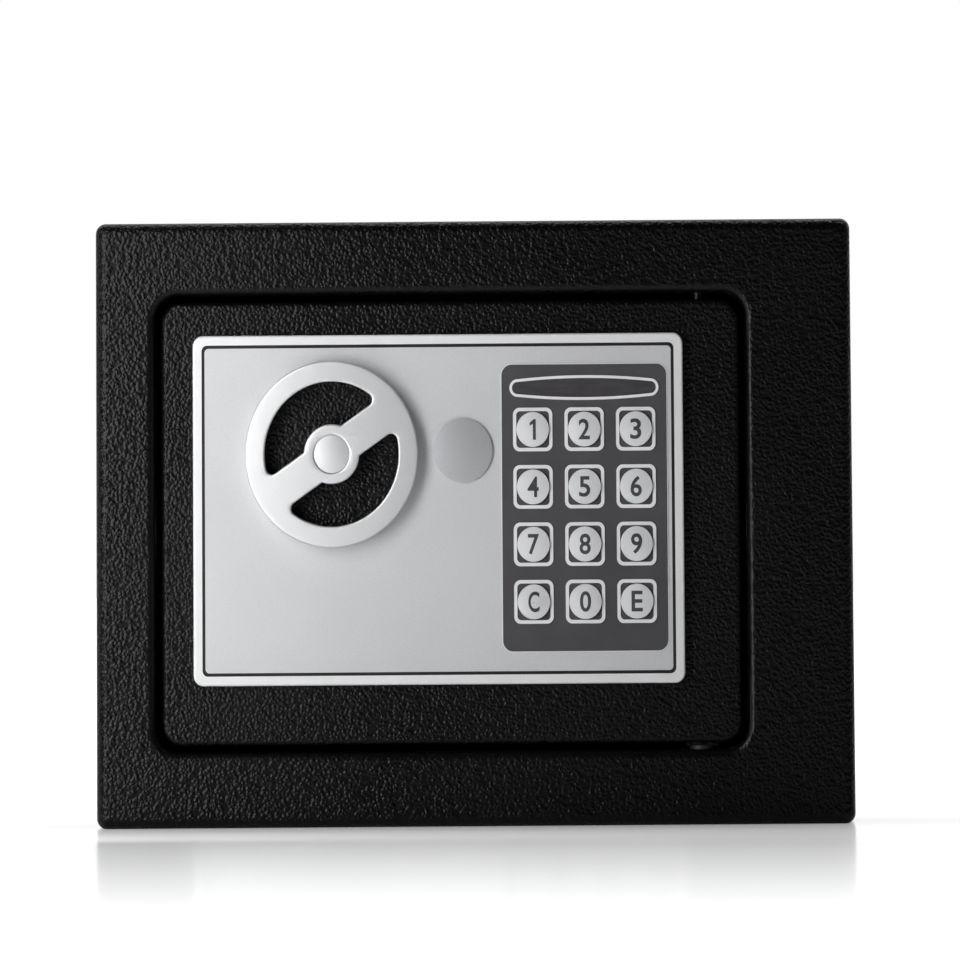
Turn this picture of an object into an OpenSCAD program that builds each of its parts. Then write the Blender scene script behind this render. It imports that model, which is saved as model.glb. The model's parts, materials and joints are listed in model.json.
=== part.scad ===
// Small electronic safe: welded steel body, hinged door with knob, keypad and bolt work.
// Millimetres. X to the right, Y to the back, Z up, origin under the middle of the whole safe.

/* [View] */
// Sub-component to draw

/* [Body] */
// Width over the steel body
body_w = 230; // [222:1:276]
// Height over the steel body
body_h = 170; // [164:1:204]
// Depth from the front frame's face to the back panel's face
body_d = 170; // [142:1:320]
// Thickness of the body's sheet steel
sheet_t = 1.5; // [1.2:0.1:2]
// Outer radius of the body's bends
bend_r = 3; // [2.5:0.1:5]
// How far the front frame's sides run back to the weld seam
frame_skirt = 15; // [12:0.5:20]
// Thickness of the carpet on the floor
mat_t = 2.5; // [1.5:0.5:4]

/* [Door opening] */
// Border of the front frame left of the opening
border_left = 18; // [15:0.5:20]
// Border of the front frame right of the opening
border_right = 32.3; // [30:0.1:34]
// Border of the front frame above the opening
border_top = 20.6; // [18:0.1:22]
// Border of the front frame below the opening
border_bottom = 21.1; // [18:0.1:22]
// Corner radius of the opening
opening_r = 7; // [6:0.5:9]
// Radius of the rolled lip round the opening
lip_r = 2.5; // [2:0.1:3]
// How far the opening's flange runs back behind the face
flange_d = 16.5; // [14:0.5:16.5]

/* [Door] */
// Gap round the door
door_gap = 1.9; // [1.6:0.1:2.4]
// Thickness of the door plate
door_t = 3; // [2.5:0.1:4]
// How far the door's face lies behind the frame's face
door_inset = 0.5; // [0:0.1:1]
// Rounding of the door's front edge
door_edge_r = 1.5; // [1:0.1:1.8]
// Hinge axis to the door's right edge
hinge_in = 12; // [11:0.5:14]
// Hinge axis behind the door's face
hinge_back = 6; // [5.5:0.1:6.2]
// Radius of the hinge pins
hinge_pin_r = 2; // [1.5:0.1:2.5]
// Radial clearance of shafts, plungers and pins that turn or slide
run_fit = 0.05; // [0.03:0.01:0.1]

/* [Door cover] */
// Depth of the sheet-metal cover on the back of the door
cover_d = 30; // [30:0.5:34]
// Thickness of the cover's sheet
cover_t = 1; // [0.8:0.1:1.2]
// Cover to the door's left edge
cover_left = 5; // [5:0.1:6]
// Cover to the door's right edge
cover_right = 20.8; // [19:0.1:22]
// Cover to the door's top and bottom edges
cover_edge = 5.5; // [5:0.1:7]

/* [Panel] */
// Width of the silver panel
fascia_w = 149.2; // [148:0.1:152]
// Height of the silver panel
fascia_h = 98.4; // [98:0.1:102]
// Thickness of the silver panel
fascia_t = 3; // [2.8:0.1:4]
// Panel to the door's left edge
fascia_left = 9.6; // [9:0.1:11]
// Panel to the door's top edge
fascia_top = 9.4; // [9:0.1:11]
// Width of the panel's raised border
rim_w = 2.7; // [2:0.1:3.2]
// Width of the black inlaid line inside the border
inlay_w = 0.9; // [0.6:0.1:1.2]

/* [Knob] */
// Radius of the knob
knob_r = 26.3; // [25:0.1:28]
// Thickness of the knob
knob_t = 5.5; // [5.5:0.1:7]
// Radius of the finger openings' outer arc
knob_hole_r = 20.4; // [19:0.1:21.5]
// Radius of the knob's hub
hub_r = 8.45; // [8:0.05:9]
// Width of the grip bar
grip_w = 10.1; // [9:0.1:12]
// Rise of the grip bar to the right at rest, in degrees
grip_angle = 33.5; // [30:0.5:40]
// Radius of the spindle
spindle_r = 4; // [3.5:0.1:4.4]

/* [Keypad] */
// Width of the dark keypad plate
pad_w = 50.5; // [50:0.1:53]
// Height of the dark keypad plate
pad_h = 80.9; // [80:0.1:84]
// Distance between the key columns
key_dx = 15.67; // [15.4:0.01:15.9]
// Distance between the key rows
key_dz = 16.14; // [15.6:0.01:16.4]
// Radius of a key
key_r = 4.9; // [4.4:0.1:4.9]
// Travel of a key
key_travel = 0.8; // [0.5:0.1:0.8]
// Radial clearance round a key
key_fit = 0.08; // [0.05:0.01:0.1]

/* [Bolt work] */
// Radius of a locking bolt
bolt_r = 5; // [4:0.1:5.5]
// Distance between the two bolts
bolt_dz = 44; // [44:0.5:50]
// Crank radius on the spindle
crank_r = 10; // [9:0.1:10]
// Turn of the knob from open to locked, in degrees
knob_turn = 70; // [60:1:70]
// Thickness of the carriage plate
carriage_t = 2; // [1.5:0.1:2.5]
// Free play of the crank pin in its slot
slot_play = 0.3; // [0.25:0.05:0.4]
// Radius of the solenoid's plunger
plunger_r = 3; // [2.5:0.1:3]
// Travel of the plunger into the carriage's notch
plunger_travel = 4; // [3:0.1:4]

/* [Emergency lock] */
// Radius of the keyhole cap
cap_r = 9; // [8.5:0.1:10]
// Radius of the lock's barrel
barrel_r = 7; // [6.5:0.1:7.2]
// Radius of the lock's plug
plug_r = 4.5; // [4:0.1:4.7]

/* [Batteries] */
// Radius of a battery cell
cell_r = 7.25; // [7.25:0.05:7.25]
// Length of a battery cell
cell_l = 50.5; // [50.5:0.1:50.5]

/* [Anchors] */
// Radius of an anchor hole
anchor_r = 5; // [4:0.5:6]
// Distance between the two anchor holes
anchor_dx = 110; // [90:1:130]

/* [Hidden] */
$fn = 64;
eps = 1;
knob_lift = 0.4;
knob_out = fascia_t - door_inset + knob_lift + knob_t;
front_y = (knob_out - body_d) / 2;
back_s = body_d - sheet_t;
hole_x0 = border_left - body_w / 2;
hole_x1 = body_w / 2 - border_right;
hole_z0 = border_bottom;
hole_z1 = body_h - border_top;
door_x0 = hole_x0 + door_gap;
door_x1 = hole_x1 - door_gap;
door_z0 = hole_z0 + door_gap;
door_z1 = hole_z1 - door_gap;
door_r = opening_r - door_gap / 2;
door_s0 = door_inset;
door_s1 = door_inset + door_t;
hinge_x = door_x1 - hinge_in;
hinge_s = door_s0 + hinge_back;
fascia_x0 = door_x0 + fascia_left;
fascia_x1 = fascia_x0 + fascia_w;
fascia_z1 = door_z1 - fascia_top;
fascia_z0 = fascia_z1 - fascia_h;
fascia_s = door_s0 - fascia_t;
fascia_r = 3;
field_drop = 0.2;
field_s = fascia_s + field_drop;
knob_x = fascia_x0 + 42.2;
knob_z = fascia_z1 - 33.5;
knob_s0 = fascia_s - knob_lift - knob_t;
knob_s1 = fascia_s - knob_lift;
cap_x = knob_x + 39.9;
cap_z = knob_z + 0.8;
pad_x = fascia_x1 - 30.1;
pad_z = fascia_z1 - 49;
plate_t = 0.8;
plate_s0 = field_s - 0.3;
plate_s1 = plate_s0 + plate_t;
web_s1 = plate_s1 + 1.5;
key_z0 = pad_z + 22;
window_z = pad_z + 33.7;
window_w = 45.4;
window_h = 7;
window_end_r = 2.5;
trim_w = 0.8;
trim_t = 0.4;
skirt_t = 1.5;
skirt_w = pad_w - 3.5;
skirt_h = pad_h - 5;
key_flange_t = 0.8;
key_flange_r = key_r + 0.9;
key_s0 = web_s1 + 0.1;
mat_s0 = key_s0 + key_flange_t + key_travel + 0.1;
pad_mat_t = 0.6;
board_t = 1.6;
board_s0 = mat_s0 + pad_mat_t;
board_s1 = board_s0 + board_t;
cover_x0 = door_x0 + cover_left;
cover_x1 = door_x1 - cover_right;
cover_z0 = door_z0 + cover_edge;
cover_z1 = door_z1 - cover_edge;
cover_s = door_s1 + cover_d;
crank_s0 = door_s1 + 6.5;
crank_t = 3;
crank_pin_r = 2.5;
carriage_s = crank_s0 + crank_t + 4;
half_turn = knob_turn / 2;
half_throw = crank_r * sin(half_turn);
throw = 2 * half_throw;
pin_x = knob_x + half_throw;
pin_low = crank_r * cos(half_turn);
bolt_s = carriage_s + carriage_t + 0.5 + bolt_r - 2;
bolt_hi = knob_z + 5.4;
bolt_lo = bolt_hi - bolt_dz;
bolt_x1 = knob_x - 24.7;
bolt_x0 = cover_x0 - 1.5;
bolt_flange_t = 3;
carriage_z0 = bolt_lo - 8;
carriage_z1 = knob_z + 17.4;
carriage_x1 = cap_x - barrel_r - 2.6;
stud_r = 4.5;
neck_r = 3;
stud_hi = [bolt_x1 + 10, knob_z - 16.6];
stud_lo = [carriage_x1 - throw - neck_r - 4.6, bolt_lo + 6];
coil_x = knob_x + 3.3;
frame_z0 = cover_z0 + cover_t + 1;
frame_t = 1.5;
frame_w = 20;
coil_s = carriage_s + carriage_t / 2;
coil_r = 9;
tip_z = carriage_z0 - 0.5;
collar_z = tip_z - plunger_travel - 1.5;
frame_z1 = collar_z - 5;
spring_wire = 0.35;
notch_w = 2 * plunger_r + 1;
lock_head_s = field_s + 1.4;
lock_end_s = door_s1 + 14.5;
cam_t = 2;
cell_pitch = 2 * cell_r + 0.5;
cells = 4;
box_wall = 1.5;
box_w = cell_l + 4.5 + 2 * box_wall;
box_h = cells * cell_pitch + 2 * box_wall + 1;
box_x1 = min(cover_x1 - cover_t - 1.5, pad_x + pad_w / 2 - 1.35);
box_x0 = box_x1 - box_w;
box_z0 = cover_z0 + cover_t + 2;
box_z1 = box_z0 + box_h;
box_s1 = cover_s - cover_t;
box_s0 = box_s1 - 2 * cell_r - box_wall - 2;
cell_s = box_s0 + box_wall + cell_r + 0.3;
reset_x = box_x1 - 12;
reset_z = box_z1 + 15;
reset_r = 3;
reset_travel = 1.5;
lead_x = [pad_x - 3, pad_x];
lead_z = pad_z - 32;
boss_r = 2.5;
boss_x = [fascia_x0 + 7.5, cap_x + 7.5];
boss_z = [fascia_z0 + 6.3, fascia_z1 - 6.1];
cover_studs_at = [
    [cover_x0 + 5.5, cover_z0 + 7.5],
    [cover_x0 + 5.5, cover_z1 - 5.2],
    [cover_x1 - 8, cover_z1 - 5.2],
    [box_x0 - 11.5, cover_z0 + 7.5]
];

// Flat shape drawn in X and Z, given depth from s0 to s1 behind the front frame's face.
module slab(s0, s1) {
    translate([0, front_y + s1, 0])
        rotate([90, 0, 0])
            linear_extrude(s1 - s0)
                children();
}

// Round bar along the depth, from s0 to s1.
module rod(x, z, s0, s1, r) {
    translate([x, front_y + s1, z])
        rotate([90, 0, 0])
            cylinder(h = s1 - s0, r = r);
}

// Profile turned about a line along the depth; its height points to the front from s.
module turned(x, z, s) {
    translate([x, front_y + s, z])
        rotate([90, 0, 0])
            rotate_extrude()
                children();
}

// Block given by its X, depth and Z limits.
module block(x, s, z) {
    translate([x[0], front_y + s[0], z[0]])
        cube([x[1] - x[0], s[1] - s[0], z[1] - z[0]]);
}

// Rectangle with round corners, from its lower left to its upper right corner.
module round_rect(x0, z0, x1, z1, r) {
    translate([x0 + r, z0])
        square([x1 - x0 - 2 * r, z1 - z0]);
    translate([x0, z0 + r])
        square([x1 - x0, z1 - z0 - 2 * r]);
    for (x = [x0 + r, x1 - r], z = [z0 + r, z1 - r])
        translate([x, z])
            circle(r);
}

// Half profile of a plate's edge: w wide, t high, its upper outer corner rounded by e.
module edge_profile(w, t, e) {
    square([w, t - e]);
    if (w > e)
        square([w - e, t]);
    translate([w - e, t - e])
        intersection() {
            circle(e);
            square(e);
        }
}

// The cross-section of a plate w wide to each side, with both front edges rounded.
module plate_profile(w, t, e) {
    edge_profile(w, t, e);
    mirror([1, 0])
        edge_profile(w, t, e);
}

// Plate with round corners of radius r and a rounded front edge of radius e, from s0 to s1.
module soft_plate(x0, z0, x1, z1, s0, s1, r, e) {
    for (x = [x0 + r, x1 - r], z = [z0 + r, z1 - r])
        turned(x, z, s1)
            edge_profile(r, s1 - s0, e);
    translate([(x0 + x1) / 2, front_y + s1, z0 + r])
        linear_extrude(z1 - z0 - 2 * r)
            mirror([0, 1])
                plate_profile((x1 - x0) / 2, s1 - s0, e);
    translate([x0 + r, front_y + s1, (z0 + z1) / 2])
        rotate([90, 0, 90])
            linear_extrude(x1 - x0 - 2 * r)
                rotate(90)
                    plate_profile((z1 - z0) / 2, s1 - s0, e);
}

// Tool that rounds the front edge of a through opening; u runs out from its edge.
module lip_profile(e) {
    difference() {
        translate([-eps, -e])
            square([e + eps, e + eps]);
        translate([e, -e])
            circle(e);
    }
}

// Rounds the lip of a rectangular opening with round corners in a face at depth s.
module lip_cutter(x0, z0, x1, z1, s, r, e) {
    for (x = [x0 + r, x1 - r], z = [z0 + r, z1 - r])
        turned(x, z, s)
            translate([r, 0])
                lip_profile(e);
    for (side = [0, 1])
        translate([side == 0 ? x0 : x1, front_y + s, z0 + r])
            linear_extrude(z1 - z0 - 2 * r)
                mirror([0, 1])
                    mirror([1 - side, 0])
                        lip_profile(e);
    for (side = [0, 1])
        translate([x0 + r, front_y + s, side == 0 ? z0 : z1])
            rotate([90, 0, 90])
                linear_extrude(x1 - x0 - 2 * r)
                    rotate(90)
                        mirror([1 - side, 0])
                            lip_profile(e);
}

// Low dome of radius r: straight wall h high, then a spherical cap that rises by rise.
module dome_profile(r, h, rise) {
    ball = (r * r + rise * rise) / (2 * rise);
    intersection() {
        square([r, h + rise]);
        translate([0, h + rise - ball])
            circle(ball, $fn = 360);
    }
}

// Screw along the depth: head from s to s + h towards the back, shank forward to s - l.
module screw_from_back(x, z, s, head_r, head_h, shank_r, l) {
    difference() {
        rod(x, z, s, s + head_h, head_r);
        rod(x, z, s + head_h * 0.45, s + head_h + eps, head_r * 0.42);
    }
    rod(x, z, s - l, s, shank_r);
}

// Anchor holes, drilled up through the floor.
module floor_holes(r) {
    for (side = [-1, 1])
        translate([side * anchor_dx / 2, front_y + body_d / 2 + 8, -eps])
            cylinder(h = sheet_t + mat_t + 2 * eps, r = r);
}

module body_shell() {
    color("#1b1b1d")
        difference() {
            slab(frame_skirt, back_s)
                round_rect(-body_w / 2, 0, body_w / 2, body_h, bend_r);
            slab(frame_skirt - eps, back_s + eps)
                round_rect(sheet_t - body_w / 2, sheet_t, body_w / 2 - sheet_t,
                    body_h - sheet_t, bend_r - sheet_t);
            floor_holes(anchor_r);
        }
}

module front_frame() {
    color("#1b1b1d")
        difference() {
            union() {
                difference() {
                    soft_plate(-body_w / 2, 0, body_w / 2, body_h, 0, frame_skirt, bend_r,
                        bend_r);
                    slab(sheet_t, frame_skirt + eps)
                        round_rect(sheet_t - body_w / 2, sheet_t, body_w / 2 - sheet_t,
                            body_h - sheet_t, bend_r - sheet_t);
                }
                slab(sheet_t / 2, flange_d)
                    round_rect(hole_x0 - sheet_t, hole_z0 - sheet_t, hole_x1 + sheet_t,
                        hole_z1 + sheet_t, opening_r + sheet_t);
                slab(sheet_t / 2, lip_r)
                    round_rect(hole_x0 - lip_r - sheet_t, hole_z0 - lip_r - sheet_t,
                        hole_x1 + lip_r + sheet_t, hole_z1 + lip_r + sheet_t,
                        opening_r + lip_r + sheet_t);
            }
            slab(-eps, flange_d + eps)
                round_rect(hole_x0, hole_z0, hole_x1, hole_z1, opening_r);
            lip_cutter(hole_x0, hole_z0, hole_x1, hole_z1, 0, opening_r, lip_r);
            for (z = [hole_z0 - sheet_t - eps, hole_z1 - eps])
                translate([hinge_x, front_y + hinge_s, z])
                    cylinder(h = sheet_t + 2 * eps, r = hinge_pin_r);
        }
}

module back_panel() {
    color("#1b1b1d")
        difference() {
            slab(back_s, body_d)
                round_rect(-body_w / 2, 0, body_w / 2, body_h, bend_r);
            for (side = [-1, 1])
                rod(side * anchor_dx / 2, body_h / 2, back_s - eps, body_d + eps, anchor_r);
        }
}

module floor_mat() {
    color("#3a3c42")
        difference() {
            block([bend_r - body_w / 2, body_w / 2 - bend_r],
                [flange_d + 1.5, back_s - 0.5], [sheet_t, sheet_t + mat_t]);
            floor_holes(anchor_r + 3);
        }
}

// Pins on the flange's outer side, one up from below and one down from above.
module hinge_pins() {
    color("#b9bcc0")
        for (up = [0, 1])
            translate([hinge_x, front_y + hinge_s, up == 1 ? hole_z1 : hole_z0])
                mirror([0, 0, up]) {
                    translate([0, 0, -sheet_t - 1.5])
                        cylinder(h = 1.5, r = hinge_pin_r + 1.5);
                    translate([0, 0, -sheet_t])
                        cylinder(h = sheet_t + door_gap + 6, r = hinge_pin_r);
                }
}

module hinge_washer() {
    color("#1c1c1e")
        translate([hinge_x, front_y + hinge_s, hole_z0])
            difference() {
                cylinder(h = 1, r = hinge_pin_r + 2);
                translate([0, 0, -eps])
                    cylinder(h = 1 + 2 * eps, r = hinge_pin_r + run_fit);
            }
}

module door_plate() {
    color("#1b1b1d")
        difference() {
            soft_plate(door_x0, door_z0, door_x1, door_z1, door_s0, door_s1, door_r,
                door_edge_r);
            rod(knob_x, knob_z, door_s0 - eps, door_s1 + eps, spindle_r + 2);
            rod(cap_x, cap_z, door_s0 - eps, door_s1 + eps, barrel_r);
            slab(door_s0 - eps, door_s1 + eps)
                round_rect(pad_x - skirt_w / 2 - 0.3, pad_z - skirt_h / 2 - 0.3,
                    pad_x + skirt_w / 2 + 0.3, pad_z + skirt_h / 2 + 0.3, 2);
            for (x = boss_x, z = boss_z)
                rod(x, z, door_s0 - eps, door_s1 + eps, boss_r + 0.1);
        }
}

// Lugs welded to the door's back, turning on the hinge pins.
module hinge_lugs() {
    color("#2a2a2c")
        for (up = [0, 1])
            translate([hinge_x, front_y, up == 1 ? hole_z1 : hole_z0])
                mirror([0, 0, up])
                    difference() {
                        translate([-5, door_s1, up == 1 ? door_gap : 1.05])
                            cube([10, hinge_s + 4.5 - door_s1, 10]);
                        translate([0, hinge_s, -eps]) {
                            cylinder(h = door_gap + 6.5 + eps, r = hinge_pin_r + run_fit);
                        }
                    }
}

module door_cover() {
    color("#26272a")
        difference() {
            slab(door_s1, cover_s)
                round_rect(cover_x0, cover_z0, cover_x1, cover_z1, 2.5);
            slab(door_s1 - eps, cover_s - cover_t)
                round_rect(cover_x0 + cover_t, cover_z0 + cover_t, cover_x1 - cover_t,
                    cover_z1 - cover_t, 2.5 - cover_t);
            slab(cover_s - cover_t - eps, cover_s + eps)
                round_rect(box_x0 + box_wall, box_z0 + box_wall, box_x1 - box_wall,
                    box_z1 - box_wall, 1.5);
            for (z = [bolt_lo, bolt_hi])
                translate([cover_x0 - eps, front_y + bolt_s, z])
                    rotate([0, 90, 0])
                        cylinder(h = cover_t + 2 * eps, r = bolt_r + 1);
            for (p = cover_studs_at)
                rod(p[0], p[1], cover_s - cover_t - eps, cover_s + eps, 1.7);
            rod(reset_x, reset_z, cover_s - cover_t - eps, cover_s + eps, reset_r + 0.5);
        }
}

module cover_studs() {
    color("#a9acb0")
        for (p = cover_studs_at)
            difference() {
                rod(p[0], p[1], door_s1, cover_s - cover_t, 3.5);
                rod(p[0], p[1], cover_s - 14, cover_s, 1.5);
            }
}

module cover_screws() {
    color("#c5c8cc")
        for (p = cover_studs_at)
            screw_from_back(p[0], p[1], cover_s, 3.4, 2, 1.5, 12);
}

// Angle that carries the bolts' front ends.
module bolt_guide() {
    guide_x = cover_x0 + cover_t + 3;
    color("#8f9397")
        difference() {
            union() {
                block([guide_x, guide_x + 2], [door_s1, bolt_s + bolt_r + 2],
                    [bolt_lo - 11, bolt_hi + 11]);
                block([guide_x, guide_x + 9], [door_s1, door_s1 + 2],
                    [bolt_lo - 11, bolt_hi + 11]);
            }
            for (z = [bolt_lo, bolt_hi])
                translate([guide_x - eps, front_y + bolt_s, z])
                    rotate([0, 90, 0])
                        cylinder(h = 2 + 2 * eps, r = bolt_r + run_fit);
        }
}

module guide_studs() {
    color("#a9acb0")
        for (p = [stud_hi, stud_lo])
            difference() {
                union() {
                    rod(p[0], p[1], door_s1, carriage_s - 0.1, stud_r);
                    rod(p[0], p[1], carriage_s - 0.1, carriage_s + carriage_t + 0.1, neck_r);
                }
                rod(p[0], p[1], carriage_s - 6, carriage_s + carriage_t + eps, 1.25);
            }
}

module carriage_screws() {
    color("#c5c8cc")
        for (p = [stud_hi, stud_lo])
            screw_from_back(p[0], p[1], carriage_s + carriage_t + 0.1, neck_r + 2, 2, 1.25, 7);
}

// Slot drawn in X and Z, its left round end at (x, z), its ends dx apart.
module slot_shape(x, z, r, dx) {
    for (end = [0, dx])
        translate([x + end, z])
            circle(r);
    translate([x, z - r])
        square([dx, 2 * r]);
}

module bolt_carriage() {
    color("#9a9ea3")
        difference() {
            union() {
                slab(carriage_s, carriage_s + carriage_t)
                    round_rect(bolt_x1, carriage_z0, carriage_x1, carriage_z1, 1.5);
                block([bolt_x1, bolt_x1 + bolt_flange_t],
                    [carriage_s, bolt_s + bolt_r + 0.5], [carriage_z0, carriage_z1]);
            }
            slab(carriage_s - eps, carriage_s + carriage_t + eps) {
                slot_shape(stud_hi[0], stud_hi[1], neck_r + 0.1, throw + 0.2);
                slot_shape(stud_lo[0], stud_lo[1], neck_r + 0.1, throw + 0.2);
                translate([pin_x - crank_pin_r - slot_play, knob_z + pin_low - crank_pin_r - 0.3])
                    square([2 * (crank_pin_r + slot_play),
                        crank_r - pin_low + 2 * crank_pin_r + 0.6]);
                for (x = [coil_x, coil_x + throw])
                    translate([x - notch_w / 2, carriage_z0 - eps])
                        square([notch_w, plunger_travel + 1.5 + eps]);
            }
            for (z = [bolt_lo, bolt_hi])
                translate([bolt_x1 - eps, front_y + bolt_s, z])
                    rotate([0, 90, 0]) {
                        cylinder(h = bolt_flange_t + 2 * eps, r = 1.5);
                        translate([0, 0, bolt_flange_t - 0.5])
                            cylinder(h = 2 * eps, r = 2.8);
                    }
        }
}

module locking_bolts() {
    color("#d2d5d8")
        for (z = [bolt_lo, bolt_hi])
            translate([bolt_x0, front_y + bolt_s, z])
                rotate([0, 90, 0])
                    difference() {
                        union() {
                            cylinder(h = 1, r1 = bolt_r - 1, r2 = bolt_r);
                            translate([0, 0, 1])
                                cylinder(h = bolt_x1 - bolt_x0 - 1, r = bolt_r);
                        }
                        translate([0, 0, bolt_x1 - bolt_x0 - 9])
                            cylinder(h = 10, r = 1.5);
                    }
}

module bolt_screws() {
    color("#c5c8cc")
        for (z = [bolt_lo, bolt_hi])
            translate([bolt_x1 - 8, front_y + bolt_s, z])
                rotate([0, 90, 0]) {
                    cylinder(h = 8 + bolt_flange_t - 1.5, r = 1.5);
                    translate([0, 0, 8 + bolt_flange_t - 1.5])
                        cylinder(h = 1.3, r = 2.8);
                }
}

module spindle() {
    hub_s = knob_s0 + 4.5;
    color("#b9bcc0")
        difference() {
            rod(knob_x, knob_z, hub_s, crank_s0 + crank_t + 0.2, spindle_r);
            block([knob_x + spindle_r - 1, knob_x + spindle_r + eps],
                [hub_s - eps, door_s0 - 0.3], [knob_z - spindle_r, knob_z + spindle_r]);
            rod(knob_x, knob_z, hub_s - eps, hub_s + 7, 1.5);
        }
}

module spindle_bush() {
    color("#c8a85a")
        difference() {
            union() {
                rod(knob_x, knob_z, door_s0, door_s1, spindle_r + 2);
                rod(knob_x, knob_z, door_s1, door_s1 + 2, spindle_r + 5);
            }
            rod(knob_x, knob_z, door_s0 - eps, door_s1 + 2 + eps, spindle_r + run_fit);
        }
}

// Crank with its pin up and to the right of the spindle while the bolts are drawn back.
module crank() {
    color("#8f9397") {
        difference() {
            slab(crank_s0, crank_s0 + crank_t)
                translate([knob_x, knob_z])
                    rotate(-half_turn) {
                        circle(spindle_r + 3);
                        translate([-4.5, 0])
                            square([9, crank_r]);
                        translate([0, crank_r])
                            circle(4.5);
                    }
            rod(knob_x, knob_z, crank_s0 - eps, crank_s0 + crank_t + eps, spindle_r);
        }
        rod(pin_x, knob_z + pin_low, crank_s0 + crank_t, carriage_s + carriage_t + 1.5,
            crank_pin_r);
    }
}

// One finger opening of the knob, between bar, hub and rim, with its outer corners rounded.
module finger_hole() {
    soft = 1.9;
    low = grip_w / 2;
    reach = sqrt(pow(knob_hole_r - soft, 2) - pow(low + soft, 2));
    far_x = 2 * knob_hole_r * reach / (knob_hole_r - soft);
    far_z = 2 * knob_hole_r * (low + soft) / (knob_hole_r - soft);
    difference() {
        union() {
            intersection() {
                circle(knob_hole_r);
                polygon([[0, 0], [far_x, far_z], [far_x, 2 * far_x], [-far_x, 2 * far_x],
                    [-far_x, far_z]]);
                translate([-2 * knob_hole_r, low])
                    square([4 * knob_hole_r, 2 * knob_hole_r]);
            }
            translate([-reach, low])
                square([2 * reach, soft]);
            for (side = [-1, 1])
                translate([side * reach, low + soft])
                    circle(soft);
        }
        circle(hub_r);
    }
}

module knob() {
    pocket_s = knob_s0 + 3.6;
    color("#d5d7da")
        difference() {
            union() {
                turned(knob_x, knob_z, knob_s1)
                    edge_profile(knob_r, knob_t, 0.8);
                rod(knob_x, knob_z, knob_s1 - 0.5, door_s0 - 0.3, hub_r - 0.6);
            }
            slab(knob_s0 - eps, knob_s1 + eps)
                translate([knob_x, knob_z])
                    for (side = [0, 180])
                        rotate(grip_angle + side)
                            finger_hole();
            rod(knob_x, knob_z, knob_s0 - eps, knob_s0 + 0.5, hub_r - 1);
            rod(knob_x, knob_z, knob_s0 - eps, pocket_s, 5.3);
            rod(knob_x, knob_z, pocket_s - eps, door_s0, 1.6);
            difference() {
                rod(knob_x, knob_z, knob_s0 + 4.5, door_s0, spindle_r);
                block([knob_x + spindle_r - 1, knob_x + spindle_r + eps],
                    [knob_s0 + 4, door_s0 + eps], [knob_z - spindle_r, knob_z + spindle_r]);
            }
        }
}

module knob_cap() {
    color("#d5d7da")
        turned(knob_x, knob_z, knob_s0 + 1.6)
            dome_profile(5.3, 1.2, 0.3);
}

module knob_screw() {
    head_s = knob_s0 + 3.6;
    color("#c5c8cc") {
        difference() {
            rod(knob_x, knob_z, head_s - 1.6, head_s, 3);
            rod(knob_x, knob_z, head_s - 1.6 - eps, head_s - 0.8, 1.2);
        }
        rod(knob_x, knob_z, head_s, head_s + 7, 1.5);
    }
}

module solenoid_frame() {
    color("#a9acb0")
        difference() {
            union() {
                block([coil_x - frame_w / 2, coil_x + frame_w / 2], [door_s1, door_s1 + frame_t],
                    [frame_z0, frame_z1]);
                for (z = [frame_z0, frame_z1 - frame_t])
                    block([coil_x - frame_w / 2, coil_x + frame_w / 2],
                        [door_s1, coil_s + coil_r + 1], [z, z + frame_t]);
            }
            translate([coil_x, front_y + coil_s, frame_z1 - frame_t - eps])
                cylinder(h = frame_t + 2 * eps, r = plunger_r + run_fit);
        }
}

module solenoid_coil() {
    color("#7a4a2c")
        translate([coil_x, front_y + coil_s, frame_z0 + frame_t])
            difference() {
                union() {
                    for (z = [0, frame_z1 - frame_z0 - 2 * frame_t - 1])
                        translate([0, 0, z])
                            cylinder(h = 1, r = coil_r);
                    cylinder(h = frame_z1 - frame_z0 - 2 * frame_t, r = coil_r - 1.2);
                }
                translate([0, 0, 2])
                    cylinder(h = frame_z1 - frame_z0, r = plunger_r + run_fit);
            }
}

module plunger() {
    color("#c5c8cc")
        translate([coil_x, front_y + coil_s, 0]) {
            translate([0, 0, frame_z0 + frame_t + 3])
                cylinder(h = tip_z - frame_z0 - frame_t - 3, r = plunger_r);
            translate([0, 0, collar_z])
                cylinder(h = 1, r = plunger_r + 1.6);
        }
}

// Point of the plunger spring: along its turns, then round its wire.
function spring_point(turn, side, r, low, rise) = [
    (r + spring_wire * cos(side)) * cos(turn),
    (r + spring_wire * cos(side)) * sin(turn),
    low + rise * turn / 360 + spring_wire * sin(side)
];

module plunger_spring() {
    steps = 120;
    sides = 8;
    turns = 5;
    r = plunger_r + 1;
    low = frame_z1 + spring_wire;
    rise = (collar_z - frame_z1 - 2 * spring_wire) / turns;
    points = [
        for (i = [0:steps], j = [0:sides - 1])
            spring_point(turns * 360 * i / steps, 360 * j / sides, r, low, rise)
    ];
    walls = [
        for (i = [0:steps - 1], j = [0:sides - 1])
            [i * sides + j, (i + 1) * sides + j, (i + 1) * sides + (j + 1) % sides,
                i * sides + (j + 1) % sides]
    ];
    ends = [
        [for (j = [0:sides - 1]) j],
        [for (j = [sides - 1:-1:0]) steps * sides + j]
    ];
    color("#c5c8cc")
        translate([coil_x, front_y + coil_s, 0])
            polyhedron(points, concat(walls, ends));
}

module lock_cylinder() {
    color("#c8cbcf")
        difference() {
            union() {
                rod(cap_x, cap_z, lock_head_s, door_s0, cap_r);
                rod(cap_x, cap_z, door_s0, lock_end_s, barrel_r);
            }
            rod(cap_x, cap_z, lock_head_s - eps, lock_head_s + 0.9, plug_r + 0.8);
            rod(cap_x, cap_z, lock_head_s, lock_end_s + eps, plug_r + run_fit);
        }
}

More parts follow.
